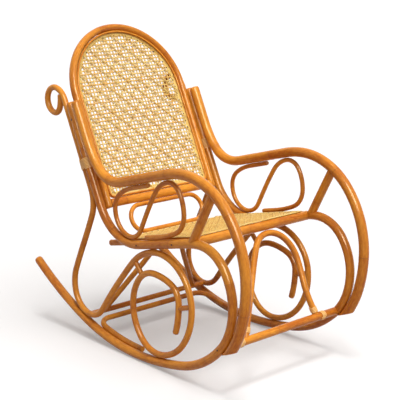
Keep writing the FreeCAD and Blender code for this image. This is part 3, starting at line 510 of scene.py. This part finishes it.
def nail_finish():
    """Blackened steel of the nail heads."""
    made = Finish(bpy.data.materials.new("blackened_nail"))
    place = made.node("ShaderNodeTexCoord", output="Object")
    specks = made.noise(place, (900, 900, 900), detail=3)
    return made.surface({
        "Base Color": made.mix(specks, NAIL_DARK, NAIL_WORN),
        "Metallic": 0.85,
        "Roughness": specks * 0.25 + 0.34,
        "Normal": made.bump(specks, strength=0.3, distance=0.0003),
    })


def finish(name, maker, *details):
    """The material of that name, made once."""
    return bpy.data.materials.get(name) or maker(*details)


def rattan():
    return [finish("lacquered_rattan", rattan_finish), finish("cut_end", cut_end_finish)]


# Reading the CAD nodes


def points_of(node):
    """Points of a CAD node's mesh."""
    return [vert.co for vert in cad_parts[node].data.vertices]


def copy_of(node):
    """Merged copy of a CAD node's mesh."""
    mesh = bmesh.new()
    mesh.from_mesh(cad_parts[node].data)
    bmesh.ops.remove_doubles(mesh, verts=mesh.verts, dist=MERGE)
    return mesh


def middle(node):
    low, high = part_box(node)
    return (low + high) / 2


def mean(points):
    return sum(points, Vector()) / len(points)


def tree_of(points):
    """Tree in which the nearest of some points is found."""
    tree = KDTree(len(points))
    for number, point in enumerate(points):
        tree.insert(point, number)
    tree.balance()
    return tree


def places_along(points):
    """Each point's place along the line through all of them."""
    places = [0.0]
    for a, b in zip(points, points[1:]):
        places.append(places[-1] + (b - a).length)
    return places


def outline(node, point, normal):
    """Longest closed line in which a plane cuts a CAD node, as points in order."""
    mesh = copy_of(node)
    geometry = mesh.verts[:] + mesh.edges[:] + mesh.faces[:]
    bmesh.ops.bisect_plane(
        mesh, geom=geometry, dist=CUT_REACH, plane_co=point, plane_no=normal,
        clear_inner=True, clear_outer=True)
    bmesh.ops.remove_doubles(mesh, verts=mesh.verts, dist=CUT_MERGE)
    loops = []
    seen = set()
    for vert in mesh.verts:
        if vert in seen:
            continue
        seen.add(vert)
        run = deque([vert])
        for end, grow in ((-1, run.append), (0, run.appendleft)):
            ahead = [vert]
            while ahead:
                around = [edge.other_vert(run[end]) for edge in run[end].link_edges]
                ahead = [other for other in around if other not in seen][:1]
                seen.update(ahead)
                for other in ahead:
                    grow(other)
        loops.append([other.co.copy() for other in run])
    mesh.free()
    return max(loops, key=lambda points: places_along(points + points[:1])[-1])


def thinned(points):
    """Points of a closed line without the ones that lie on top of each other."""
    kept = []
    for point in points:
        if not kept or (point - kept[-1]).length > SAME_SPOT:
            kept.append(point)
    return kept


def offset_line(loop, ways, side, normal, closed):
    """Points of one side of an outline, each with the direction across the pole."""
    line = []
    for place, i in enumerate(side):
        before, after = ways[i - 1], ways[i]
        if not closed and place == 0:
            before = after
        if not closed and place == len(side) - 1:
            after = before
        line.append((loop[i], normal.cross(before + after).normalized()))
    return line


def ring_line(loop, ways, normal, radius):
    """Middle line of a closed ring."""
    line = offset_line(loop, ways, range(len(loop)), normal, True)
    heart = mean(loop)
    test, inward = max(line, key=lambda pair: (pair[0] - heart).length)
    sign = 1 if inward.dot(heart - test) > 0 else -1
    return [spot + inward * (sign * radius) for spot, inward in line]


def centre_line(node, point, normal, radius):
    """Middle line of a pole bent in a plane, whether it closes, and the planes of its slanted ends."""
    loop = thinned(outline(node, point, normal))
    count = len(loop)
    ways = [(loop[(i + 1) % count] - loop[i]).normalized() for i in range(count)]
    corners = [i for i in range(count) if ways[i - 1].dot(ways[i]) < CORNER]
    if not corners:
        return ring_line(loop, ways, normal, radius), True, []
    chains = []
    for a, b in zip(corners, corners[1:] + [corners[0] + count]):
        chains.append([i % count for i in range(a, b + 1)])
    runs = [places_along([loop[i] for i in chain])[-1] for chain in chains]
    order = sorted(range(len(chains)), key=lambda number: runs[number])
    side, other = chains[order[-1]], chains[order[-2]]
    line = offset_line(loop, ways, side, normal, False)
    tree = tree_of([loop[i] for i in other])
    test, inward = line[len(line) // 2]
    gaps = [tree.find(test + inward * (2 * radius * turn))[2] for turn in (1, -1)]
    sign = 1 if gaps[0] < gaps[1] else -1
    middles = [spot + inward * (sign * radius) for spot, inward in line]
    slants = []
    for number in ((order[-1] + 1) % len(chains), order[-1] - 1):
        if not SLANT * radius < runs[number] < 2 * SLANT * radius:
            continue
        ends = [loop[chains[number][0]], loop[chains[number][-1]]]
        facing = normal.cross(ends[1] - ends[0]).normalized()
        at_head = (ends[0] - middles[-1]).length < (ends[0] - middles[0]).length
        last, before = (middles[-1], middles[-2]) if at_head else (middles[0], middles[1])
        way = (last - before).normalized()
        if facing.dot(way) < 0:
            facing = -facing
        slants.append((ends[0], facing))
        extra = last + way * (runs[number] + radius)
        middles = middles + [extra] if at_head else [extra] + middles
    return middles, False, slants


def hoop_line(node, foot, head, radius):
    """Middle line of a hoop that stands in the plane of its foot rail and its head rail."""
    rise = (middle(head) - middle(foot)).normalized()
    normal = ACROSS.cross(rise)
    line, _, _ = centre_line(node, middle(foot) + normal * NUDGE, normal, radius)
    return evenly(line, HOOP_STEP, False)[0]


def long_line(node):
    """Ends of the line through the middle of a CAD node's box, along its longest side."""
    low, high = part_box(node)
    size = high - low
    longest = max(range(3), key=lambda axis: size[axis])
    way = Vector([float(axis == longest) for axis in range(3)])
    return [middle(node) - way * size[longest] / 2, middle(node) + way * size[longest] / 2]


def spine(node):
    """Ends of a straight CAD rod that lies at a slant, from the faces at its two ends."""
    points = points_of(node)
    centre = mean(points)
    far = max(points, key=lambda point: (point - centre).length)
    rest = [point for point in points if (point - centre).dot(far - centre) < 0]
    other = max(rest, key=lambda point: (point - far).length)
    faces = [[point for point in points if (point - end).length < END_REACH] for end in (far, other)]
    return [mean(face) for face in faces]


def back_tilt():
    """Turn of the back's plane, from the lowest and the highest point of the back's cane."""
    points = points_of("back_cane")
    top = max(points, key=lambda spot: spot.z)
    foot = min(points, key=lambda spot: spot.z)
    step = top - foot
    return Matrix.Rotation(math.atan2(step.z, step.y), 4, "X")


# Poles and rods


def show(name, mesh, finishes, nodes):
    """Make a mesh a piece of the chair that stands for its CAD nodes."""
    data = bpy.data.meshes.new(name)
    mesh.to_mesh(data)
    mesh.free()
    for made in finishes:
        data.materials.append(made)
    piece = bpy.data.objects.new(name, data)
    bpy.context.scene.collection.objects.link(piece)
    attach(piece, ROOT)
    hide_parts(*nodes)
    return piece


def evenly(points, step, closed):
    """The same line with even spaces, its small kinks smoothed, and the place of each point along it."""
    run = points + points[:1] if closed else points
    places = places_along(run)
    count = max(2, round(places[-1] / step))
    spaced = []
    span = 0
    for number in range(count if closed else count + 1):
        place = places[-1] * number / count
        while span < len(run) - 2 and places[span + 1] < place:
            span += 1
        share = (place - places[span]) / max(places[span + 1] - places[span], TINY)
        spaced.append(run[span].lerp(run[span + 1], share))
    for _ in range(SMOOTHINGS):
        before = spaced[-1:] + spaced[:-1]
        after = spaced[1:] + spaced[:1]
        smooth = [(a + b * 2 + c) / 4 for a, b, c in zip(before, spaced, after)]
        if not closed:
            smooth[0], smooth[-1] = spaced[0], spaced[-1]
        spaced = smooth
    return spaced, [places[-1] * number / count for number in range(len(spaced))]


def station(point, side, way):
    """Frame at a point with its X to a side and its Z along a way."""
    rise = way.cross(side).normalized()
    side = rise.cross(way)
    turn = Matrix((side, rise, way)).transposed()
    return Matrix.Translation(point) @ turn.to_4x4()


def stations(points, side, closed):
    """Frames along a line: X to a side, Z along the line."""
    frames = []
    count = len(points)
    for i, point in enumerate(points):
        ahead = points[(i + 1) % count] if closed or i + 1 < count else point
        behind = points[i - 1] if closed or i else point
        frames.append(station(point, side, (ahead - behind).normalized()))
    return frames


def sweep(frames, places, sizes, sides, closed=False):
    """Mesh of a ring drawn along frames, its half sizes given at each, with its place in the grain."""
    mesh = bmesh.new()
    layer = mesh.verts.layers.float_vector.new(GRAIN)
    ring = bmesh.ops.create_circle(mesh, segments=sides, radius=1.0, matrix=frames[0])["verts"]
    edges = first = list(dict.fromkeys(edge for vert in ring for edge in vert.link_edges))
    previous, last = frames[0], (1.0, 1.0)
    for number, (where, place, (wide, deep)) in enumerate(zip(frames, places, sizes)):
        if number:
            made = bmesh.ops.extrude_edge_only(mesh, edges=edges)["geom"]
            ring = [item for item in made if isinstance(item, bmesh.types.BMVert)]
            inside = set(ring)
            edges = [item for item in made if isinstance(item, bmesh.types.BMEdge)]
            edges = [edge for edge in edges if inside.issuperset(edge.verts)]
        home = previous.inverted()
        for vert in ring:
            spot = home @ vert.co
            spoke = Vector((spot.x / last[0], spot.y / last[1], 0)).normalized()
            vert.co = where @ Vector((spoke.x * wide, spoke.y * deep, 0))
            vert[layer] = Vector((place, spoke.x * wide, spoke.y * deep))
        previous, last = where, (wide, deep)
    if closed:
        bmesh.ops.bridge_loops(mesh, edges=first + edges)
    else:
        for rim in (first, edges):
            for face in bmesh.ops.edgeloop_fill(mesh, edges=rim)["faces"]:
                face.material_index = 1
    for face in mesh.faces:
        face.smooth = face.material_index == 0
    bmesh.ops.recalc_face_normals(mesh, faces=mesh.faces)
    return mesh


def saw_off(mesh, spot, facing):
    """Cut a pole's end along a plane and close it."""
    geometry = mesh.verts[:] + mesh.edges[:] + mesh.faces[:]
    cut = bmesh.ops.bisect_plane(mesh, geom=geometry, plane_co=spot, plane_no=facing, clear_outer=True)
    rim = [item for item in cut["geom_cut"] if isinstance(item, bmesh.types.BMEdge)]
    for face in bmesh.ops.edgeloop_fill(mesh, edges=rim)["faces"]:
        face.material_index = 1
        face.smooth = False
    bmesh.ops.recalc_face_normals(mesh, faces=mesh.faces)


def seeded(name):
    """A number that belongs to a name, the same at each run."""
    return sum((place + 1) * ord(letter) for place, letter in enumerate(name)) % SEEDS


def pole(node, point, normal, wide, deep, sides):
    """Bent pole along its CAD node's middle line, with swollen joints and rounded ends."""
    look = bpy.context.scene.rocker_rattan
    line, closed, slants = centre_line(node, point, normal, deep)
    points, places = evenly(line, look.ring_step, closed)
    seed = seeded(node)
    start = seed * GRAIN_STEP
    sizes = []
    for place in places:
        offset = ((start + place) / look.joint_spacing % 1 - 0.5) * look.joint_spacing
        swell = look.joint_swell * math.exp(-(offset / JOINT_REACH) ** 2)
        drift = DRIFT * noise.noise(Vector((place * DRIFT_PACE, seed, 0)))
        share = 1 + swell + drift
        if not closed:
            edge = min(place, places[-1] - place)
            share *= 1 - END_TAPER * max(0, 1 - edge / END_ROUND) ** 2
        sizes.append((wide * share, deep * share))
    frames = stations(points, normal, closed)
    mesh = sweep(frames, [start + place for place in places], sizes, sides, closed)
    for spot, facing in slants:
        saw_off(mesh, spot, facing)
    return show("rattan_" + node, mesh, rattan(), [node])


def turned(node, line):
    """Copy of a straight or gently bent CAD rod, with its grain along a line through it."""
    mesh = copy_of(node)
    layer = mesh.verts.layers.float_vector.new(GRAIN)
    tree = tree_of(line)
    places = places_along(line)
    start = seeded(node) * GRAIN_STEP
    for vert in mesh.verts:
        near = min(tree.find(vert.co)[1], len(line) - 2)
        way = (line[near + 1] - line[near]).normalized()
        off = vert.co - line[near]
        side = way.orthogonal().normalized() if abs(way.x) > MOSTLY else ACROSS
        side = (side - way * side.dot(way)).normalized()
        along = start + places[near] + off.dot(way)
        vert[layer] = Vector((along, off.dot(side), off.dot(way.cross(side))))
    for face in mesh.faces:
        face.smooth = True
    for edge in mesh.edges:
        if len(edge.link_faces) == 2 and edge.calc_face_angle() > SHARP:
            edge.smooth = False
    return show("rattan_" + node, mesh, rattan(), [node])


# Panels of woven cane


class CanePanel:
    """Flat cane panel in its own plane, with straight sides and, for the back, a round top."""

    def __init__(self, node, angle, is_round):
        self.node = node
        self.turn = Matrix.Rotation(angle, 4, "X")
        home = self.turn.inverted()
        points = [home @ point for point in points_of(node)]
        self.half = max(point.x for point in points)
        self.low = min(point.y for point in points)
        self.high = max(point.y for point in points)
        self.level = (min(point.z for point in points) + max(point.z for point in points)) / 2
        self.shoulder = self.high - self.half if is_round else self.high
        self.is_round = is_round

    def span(self, point, way, inset):
        """Where a line enters and leaves the panel, less an inset all round, or nothing."""
        half, low = self.half - inset, self.low + inset
        high = self.shoulder if self.is_round else self.shoulder - inset
        enter, leave = -FAR, FAR
        for start, step, least, most in ((point.x, way.x, -half, half), (point.y, way.y, low, high)):
            if abs(step) < TINY:
                if not least <= start <= most:
                    enter, leave = 1.0, 0.0
                continue
            ends = sorted(((least - start) / step, (most - start) / step))
            enter, leave = max(enter, ends[0]), min(leave, ends[1])
        spans = [(enter, leave)] if enter < leave else []
        if self.is_round:
            spans += self.top_span(point, way, half)
        if not spans:
            return None
        return min(span[0] for span in spans), max(span[1] for span in spans)

    def top_span(self, point, way, half):
        """The same for the round top alone, as a list of one or none."""
        off = point - Vector((0, self.shoulder))
        along = off.dot(way)
        room = along * along - off.dot(off) + half * half
        if room <= 0:
            return []
        enter, leave = -along - math.sqrt(room), -along + math.sqrt(room)
        if abs(way.y) <= TINY:
            return [(enter, leave)] if point.y >= self.shoulder else []
        shoulder = (self.shoulder - point.y) / way.y
        if way.y > 0:
            enter = max(enter, shoulder)
        else:
            leave = min(leave, shoulder)
        return [(enter, leave)] if enter < leave else []

    def place(self, x, y, lift):
        return self.turn @ Vector((x, y, self.level + lift))


def draw(seed, pace, row):
    """A strand's own number between -1 and 1."""
    return noise.noise(Vector((seed * pace, row, 0)))


def strand(mesh, layer, panel, start, way, span, width, wave, seed):
    """Flat cane strand along a line in a panel, lifted and lowered by a wave of its place."""
    look = bpy.context.scene.rocker_cane
    length = span[1] - span[0]
    steps = max(2, round(length / (look.pitch / 2)))
    made = bmesh.ops.create_grid(mesh, x_segments=steps, y_segments=2, size=1.0)["verts"]
    aside = Vector((-way.y, way.x))
    shift = look.stray * draw(seed, *SHIFT_DRAW)
    width *= 1 + WIDTH_SPREAD * draw(seed, *WIDTH_DRAW)
    pace, apart, row = WANDER_DRAW
    for vert in made:
        along = span[0] + (vert.co.x + 1) / 2 * length
        across = vert.co.y
        wander = shift + look.stray * noise.noise(Vector((along * pace, seed * apart, row)))
        spot = start + way * along + aside * (across * width / 2 + wander)
        vert[layer] = Vector((along, across, seed))
        vert.co = panel.place(spot.x, spot.y, wave(along) + look.crown * (1 - abs(across)))


def over_under(rise, pitch, phase):
    """Height of a strand that goes over and under by turns."""
    return lambda along: rise * math.cos(math.pi * (along / pitch + phase))


def dipping(level, depth, pitch):
    """Height of a slanting strand that lies over the crossings and dips between them."""
    return lambda along: level - depth * (1 - math.cos(2 * math.pi * along / pitch)) / 2


def weave(panel, rise, made):
    """Upright, level and slanting strands of a cane panel."""
    look = bpy.context.scene.rocker_cane
    pitch = look.pitch
    mesh = bmesh.new()
    layer = mesh.verts.layers.float_vector.new(GRAIN)
    numbers = itertools.count()

    def lay(start, way, width, wave, least=0.0):
        span = panel.span(start, way, look.strand_width)
        if span and span[1] - span[0] >= least:
            strand(mesh, layer, panel, start, way, span, width, wave, next(numbers) * SEED_STEP)

    heart = (panel.low + panel.high) / 2
    columns = int(panel.half / pitch)
    rows = int((panel.high - panel.low) / pitch / 2) + 1
    pairs = int((panel.half + panel.high - panel.low) / (SLANT_EVERY * pitch)) + 1
    for column in range(-columns, columns + 1):
        wave = over_under(rise, pitch, column % 2)
        lay(Vector((column * pitch, heart)), Vector((0, 1)), look.strand_width, wave)
    for row in range(-rows, rows + 1):
        wave = over_under(rise, pitch, row % 2 + 1)
        lay(Vector((0, heart + row * pitch)), Vector((1, 0)), look.strand_width, wave)
    for lean in (1, -1):
        way = Vector((1, -lean)).normalized()
        aside = Vector((-way.y, way.x))
        wave = dipping(lean * SLANT_LEVEL * rise, lean * rise, pitch * math.sqrt(2))
        for pair in range(-pairs, pairs + 1):
            for twin in (-0.5, 0.5):
                start = Vector((pair * SLANT_EVERY * pitch, heart)) + aside * (twin * look.slant_gap)
                lay(start, way, look.slant_width, wave, SLANT_LEAST * pitch)
    for face in mesh.faces:
        face.smooth = True
    bmesh.ops.recalc_face_normals(mesh, faces=mesh.faces)
    piece = show("woven_" + panel.node, mesh, [made], [panel.node])
    thicken = piece.modifiers.new("Thickness", "SOLIDIFY")
    thicken.thickness = look.strand_thick
    thicken.offset = 0
    return piece


def edge_band(panel):
    """Wrapped edge round a cane panel."""
    look = bpy.context.scene.rocker_cane
    inset = (look.trim + look.band_width) / 2
    half, low = panel.half - inset, panel.low + inset
    corners = [Vector((0, low)), Vector((half, low))]
    if panel.is_round:
        arc = [math.radians(angle) for angle in range(0, 181, ARC_STEP)]
        corners += [Vector((half * math.cos(a), panel.shoulder + half * math.sin(a))) for a in arc]
    else:
        corners += [Vector((half, panel.high - inset)), Vector((-half, panel.high - inset))]
    corners.append(Vector((-half, low)))
    line = [panel.place(corner.x, corner.y, 0) for corner in corners]
    points, places = evenly(line, BAND_STEP, True)
    frames = stations(points, panel.turn.to_3x3() @ UPWARD, True)
    mesh = sweep(frames, places, [(BAND_HALF, inset)] * len(points), BAND_SIDES, True)
    made = finish("wrapped_edge", band_finish, inset)
    return show("edge_" + panel.node, mesh, [made], [panel.node])


# Bindings


def lap_line(first, second, reach, lift):
    """One turn of a strip round two poles a reach apart, or round one pole where the reach is none."""
    lean = math.asin((first - second) / reach) if reach else 0.0
    line = []
    for heart, radius, begin, turn in (
            (0.0, first, math.pi / 2 - lean, math.pi + 2 * lean),
            (reach, second, lean - math.pi / 2, math.pi - 2 * lean)):
        for step in range(LAP_ARC + 1):
            angle = begin + turn * step / LAP_ARC
            spoke = Vector((math.cos(angle), math.sin(angle), 0)) * (radius + lift)
            line.append(Vector((heart, 0, 0)) + spoke)
    return line


def wind(node, axis, toward, first, second):
    """Flat cane strip wound round one pole, or round two that lie side by side, as its CAD node is."""
    look = bpy.context.scene.rocker_cane
    turn = station(Vector(), toward, axis)
    home = turn.inverted()
    points = [home @ point for point in points_of(node)]
    low = Vector([min(point[number] for point in points) for number in range(3)])
    high = Vector([max(point[number] for point in points) for number in range(3)])
    bulge = (high.y - low.y) / 2 - max(first, second)
    reach = max(0.0, high.x - low.x - first - second - 2 * bulge)
    start = Vector((low.x + first + bulge, (low.y + high.y) / 2, 0))
    turns = round((high.z - low.z - look.lap_strand) / look.lap_pitch)
    height = turns * look.lap_pitch
    base = (low.z + high.z - height) / 2
    lap = lap_line(first, second, reach, look.lap_thick / 2 + LAP_CLEAR)
    path = [start + spot for _ in range(turns) for spot in lap]
    places = places_along(path)
    for spot, place in zip(path, places):
        spot.z = base + height * place / places[-1]
    frames = [turn @ made for made in stations(path, UPWARD, False)]
    sizes = [(look.lap_width / 2, look.lap_thick / 2)] * len(frames)
    mesh = sweep(frames, places, sizes, LAP_SIDES)
    show("wound_" + node, mesh, [finish("bound_cane", binding_finish)], [node])


# Studio


def lay_floor(scene):
    """Pale floor that keeps the chair's shadow and lights it from below as a dull one would."""
    mesh = bmesh.new()
    bmesh.ops.create_grid(mesh, x_segments=1, y_segments=1, size=FLOOR_HALF)
    data = bpy.data.meshes.new("floor")
    mesh.to_mesh(data)
    mesh.free()
    floor = bpy.data.objects.new("floor", data)
    floor.location.z = -FLOOR_DROP
    scene.collection.objects.link(floor)
    made = Finish(bpy.data.materials.new("studio_floor"))
    dull = made.node("ShaderNodeBsdfDiffuse", inputs={"Color": FLOOR_DULL})
    pale = made.node("ShaderNodeBsdfDiffuse", inputs={"Color": FLOOR_PALE})
    glow = made.node("ShaderNodeEmission", inputs={"Color": WHITE, "Strength": 1.0})
    bright = made.node("ShaderNodeMixShader", inputs={0: FLOOR_GLOW, 1: pale, 2: glow})
    ground = made.node("ShaderNodeMixShader", inputs={0: made.backdrop_rays(), 1: dull, 2: bright})
    made.node("ShaderNodeOutputMaterial", inputs={"Surface": ground})
    data.materials.append(made.holder)


def light_room(scene):
    """White backdrop, light from all round and the lamps."""
    look = scene.rocker_studio
    world = Finish(bpy.data.worlds.new("studio"))
    scene.world = world.holder
    dim = world.node("ShaderNodeBackground", inputs={"Color": AMBIENT_TINT, "Strength": look.ambient})
    white = world.node("ShaderNodeBackground", inputs={"Color": WHITE, "Strength": 1.0})
    sky = world.node("ShaderNodeMixShader", inputs={0: world.backdrop_rays(), 1: dim, 2: white})
    world.node("ShaderNodeOutputWorld", inputs={"Surface": sky})
    for name, strength, spread, way, tint in LAMPS:
        lamp = bpy.data.lights.new(name, "SUN")
        lamp.energy = strength * look.lamps
        lamp.angle = math.radians(spread)
        lamp.color = tint
        holder = bpy.data.objects.new(name, lamp)
        holder.visible_glossy = name == GLINT
        holder.visible_diffuse = name != GLINT
        holder.rotation_euler = Vector(way).to_track_quat("Z", "Y").to_euler()
        scene.collection.objects.link(holder)


def set_camera(scene):
    """Camera at the photograph's viewing angle."""
    look = scene.rocker_studio
    lens = bpy.data.cameras.new("camera")
    lens.lens = look.lens
    lens.clip_end = SIGHT
    camera = bpy.data.objects.new("camera", lens)
    camera.location = look.eye
    camera.rotation_euler = (Vector(look.aim) - Vector(look.eye)).to_track_quat("-Z", "Y").to_euler()
    scene.collection.objects.link(camera)
    scene.camera = camera


# Operators


class ROCKER_OT_studio(bpy.types.Operator):
    """Set up the floor, the lamps, the world and the camera."""

    bl_idname = "rocker.studio"
    bl_label = "Studio"

    def execute(self, context):
        scene = context.scene
        scene.view_settings.view_transform = "Standard"
        lay_floor(scene)
        light_room(scene)
        set_camera(scene)
        return {"FINISHED"}


class ROCKER_OT_side_frames(bpy.types.Operator):
    """Bend the poles of both side frames and fit their struts and pegs."""

    bl_idname = "rocker.side_frames"
    bl_label = "Side frames"

    def execute(self, context):
        sides = context.scene.rocker_rattan.pole_sides
        for side in SIDES:
            for name in ("main_pole", "arm_pole", "spiral_pole", "scroll"):
                node = side + "_" + name
                low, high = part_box(node)
                radius = (high.x - low.x) / 2
                pole(node, middle(node) + ACROSS * (2 * NUDGE), ACROSS, radius, radius, sides)
            for name in ("arm_strut", "spiral_peg_upper", "spiral_peg_lower"):
                node = side + "_" + name
                turned(node, spine(node))
        return {"FINISHED"}


class ROCKER_OT_cross_pieces(bpy.types.Operator):
    """Dress the arch, rails, rods, rings and stretchers that tie the side frames together."""

    bl_idname = "rocker.cross_pieces"
    bl_label = "Cross pieces"

    def execute(self, context):
        for node in RAILS:
            turned(node, long_line(node))
        for side in SIDES:
            node = side + "_seat_side_rod"
            turned(node, spine(node))
        tilt = back_tilt()
        home = tilt.inverted()
        facing = tilt.to_3x3() @ UPWARD
        for node, wide, deep, sides in BACK_BENDS:
            levels = [(home @ point).z for point in points_of(node)]
            point = tilt @ Vector((0, 0, (min(levels) + max(levels)) / 2 + NUDGE))
            pole(node, point, facing, wide, deep, sides)
        for hoop in (FRONT_HOOP, REAR_HOOP):
            turned(hoop[0], hoop_line(*hoop))
        turned("rear_u_stretcher", long_line("rear_u_stretcher"))
        return {"FINISHED"}


class ROCKER_OT_cane_panels(bpy.types.Operator):
    """Weave the cane of the back and the seat and wrap its edges."""

    bl_idname = "rocker.cane_panels"
    bl_label = "Cane panels"

    def execute(self, context):
        look = context.scene.rocker_cane
        back = CanePanel("back_cane", BACK_ANGLE, True)
        seat = CanePanel("seat_cane", SEAT_ANGLE, False)
        for panel, rise, flecks_and_hole_shade in ((back, look.rise, BACK_FLECKS), (seat, look.seat_rise, SEAT_FLECKS_AND_HOLE_SHADE)):
            weave(panel, rise, cane_finish("woven_" + panel.node, *flecks_and_hole_shade))
            edge_band(panel)
        return {"FINISHED"}


class ROCKER_OT_bindings(bpy.types.Operator):
    """Wind the cane bindings round the uprights, the front hoop's feet and the front stretcher."""

    bl_idname = "rocker.bindings"
    bl_label = "Bindings"

    def execute(self, context):
        tilt = back_tilt().to_3x3()
        upward, rearward = tilt @ Vector((0, 1, 0)), tilt @ Vector((0, 0, -1))
        for side in SIDES:
            wind(side + "_upright_binding", upward, rearward, UPRIGHT_RADIUS, BRACE_RADIUS)
            wind(side + "_stretcher_binding", ACROSS, UPWARD, STRETCHER_RADIUS, STRETCHER_RADIUS)
        radius = FRONT_HOOP[-1]
        line = hoop_line(*FRONT_HOOP)
        if line[0].x > line[-1].x:
            line.reverse()
        for side, from_foot in (("right", line), ("left", line[::-1])):
            way = (from_foot[HOOP_KNEE] - from_foot[HOOP_FOOT]).normalized()
            wind(side + "_hoop_foot_binding", way, way.cross(ACROSS).normalized(), radius, radius)
        return {"FINISHED"}


class ROCKER_OT_nails(bpy.types.Operator):
    """Blacken the nails, which stay as the CAD nodes that they are."""

    bl_idname = "rocker.nails"
    bl_label = "Nails"

    def execute(self, context):
        for side in SIDES:
            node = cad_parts[side + "_frame_nails"]
            for slot in node.material_slots:
                slot.material = finish("blackened_nail", nail_finish)
        return {"FINISHED"}


OPERATORS = (
    ROCKER_OT_studio,
    ROCKER_OT_side_frames,
    ROCKER_OT_cross_pieces,
    ROCKER_OT_cane_panels,
    ROCKER_OT_bindings,
    ROCKER_OT_nails,
)


class ROCKER_PT_panel(bpy.types.Panel):
    """Buttons for each group of pieces."""

    bl_idname = "ROCKER_PT_panel"
    bl_label = "Rocking Chair"
    bl_space_type = "VIEW_3D"
    bl_region_type = "UI"
    bl_category = "Rocking Chair"

    def draw(self, context):
        for operator in OPERATORS:
            self.layout.operator(operator.bl_idname)


SETTINGS = {
    "rocker_rattan": RattanSettings,
    "rocker_cane": CaneSettings,
    "rocker_studio": StudioSettings,
}


def register():
    for kind in (*SETTINGS.values(), *OPERATORS, ROCKER_PT_panel):
        bpy.utils.register_class(kind)
    for name, kind in SETTINGS.items():
        setattr(bpy.types.Scene, name, bpy.props.PointerProperty(type=kind))


def unregister():
    for name in SETTINGS:
        delattr(bpy.types.Scene, name)
    for kind in (ROCKER_PT_panel, *reversed(OPERATORS), *SETTINGS.values()):
        bpy.utils.unregister_class(kind)


def main():
    """Build every piece in order."""
    register()
    bpy.ops.rocker.studio()
    bpy.ops.rocker.side_frames()
    bpy.ops.rocker.cross_pieces()
    bpy.ops.rocker.cane_panels()
    bpy.ops.rocker.bindings()
    bpy.ops.rocker.nails()


if __name__ == "__main__":
    main()
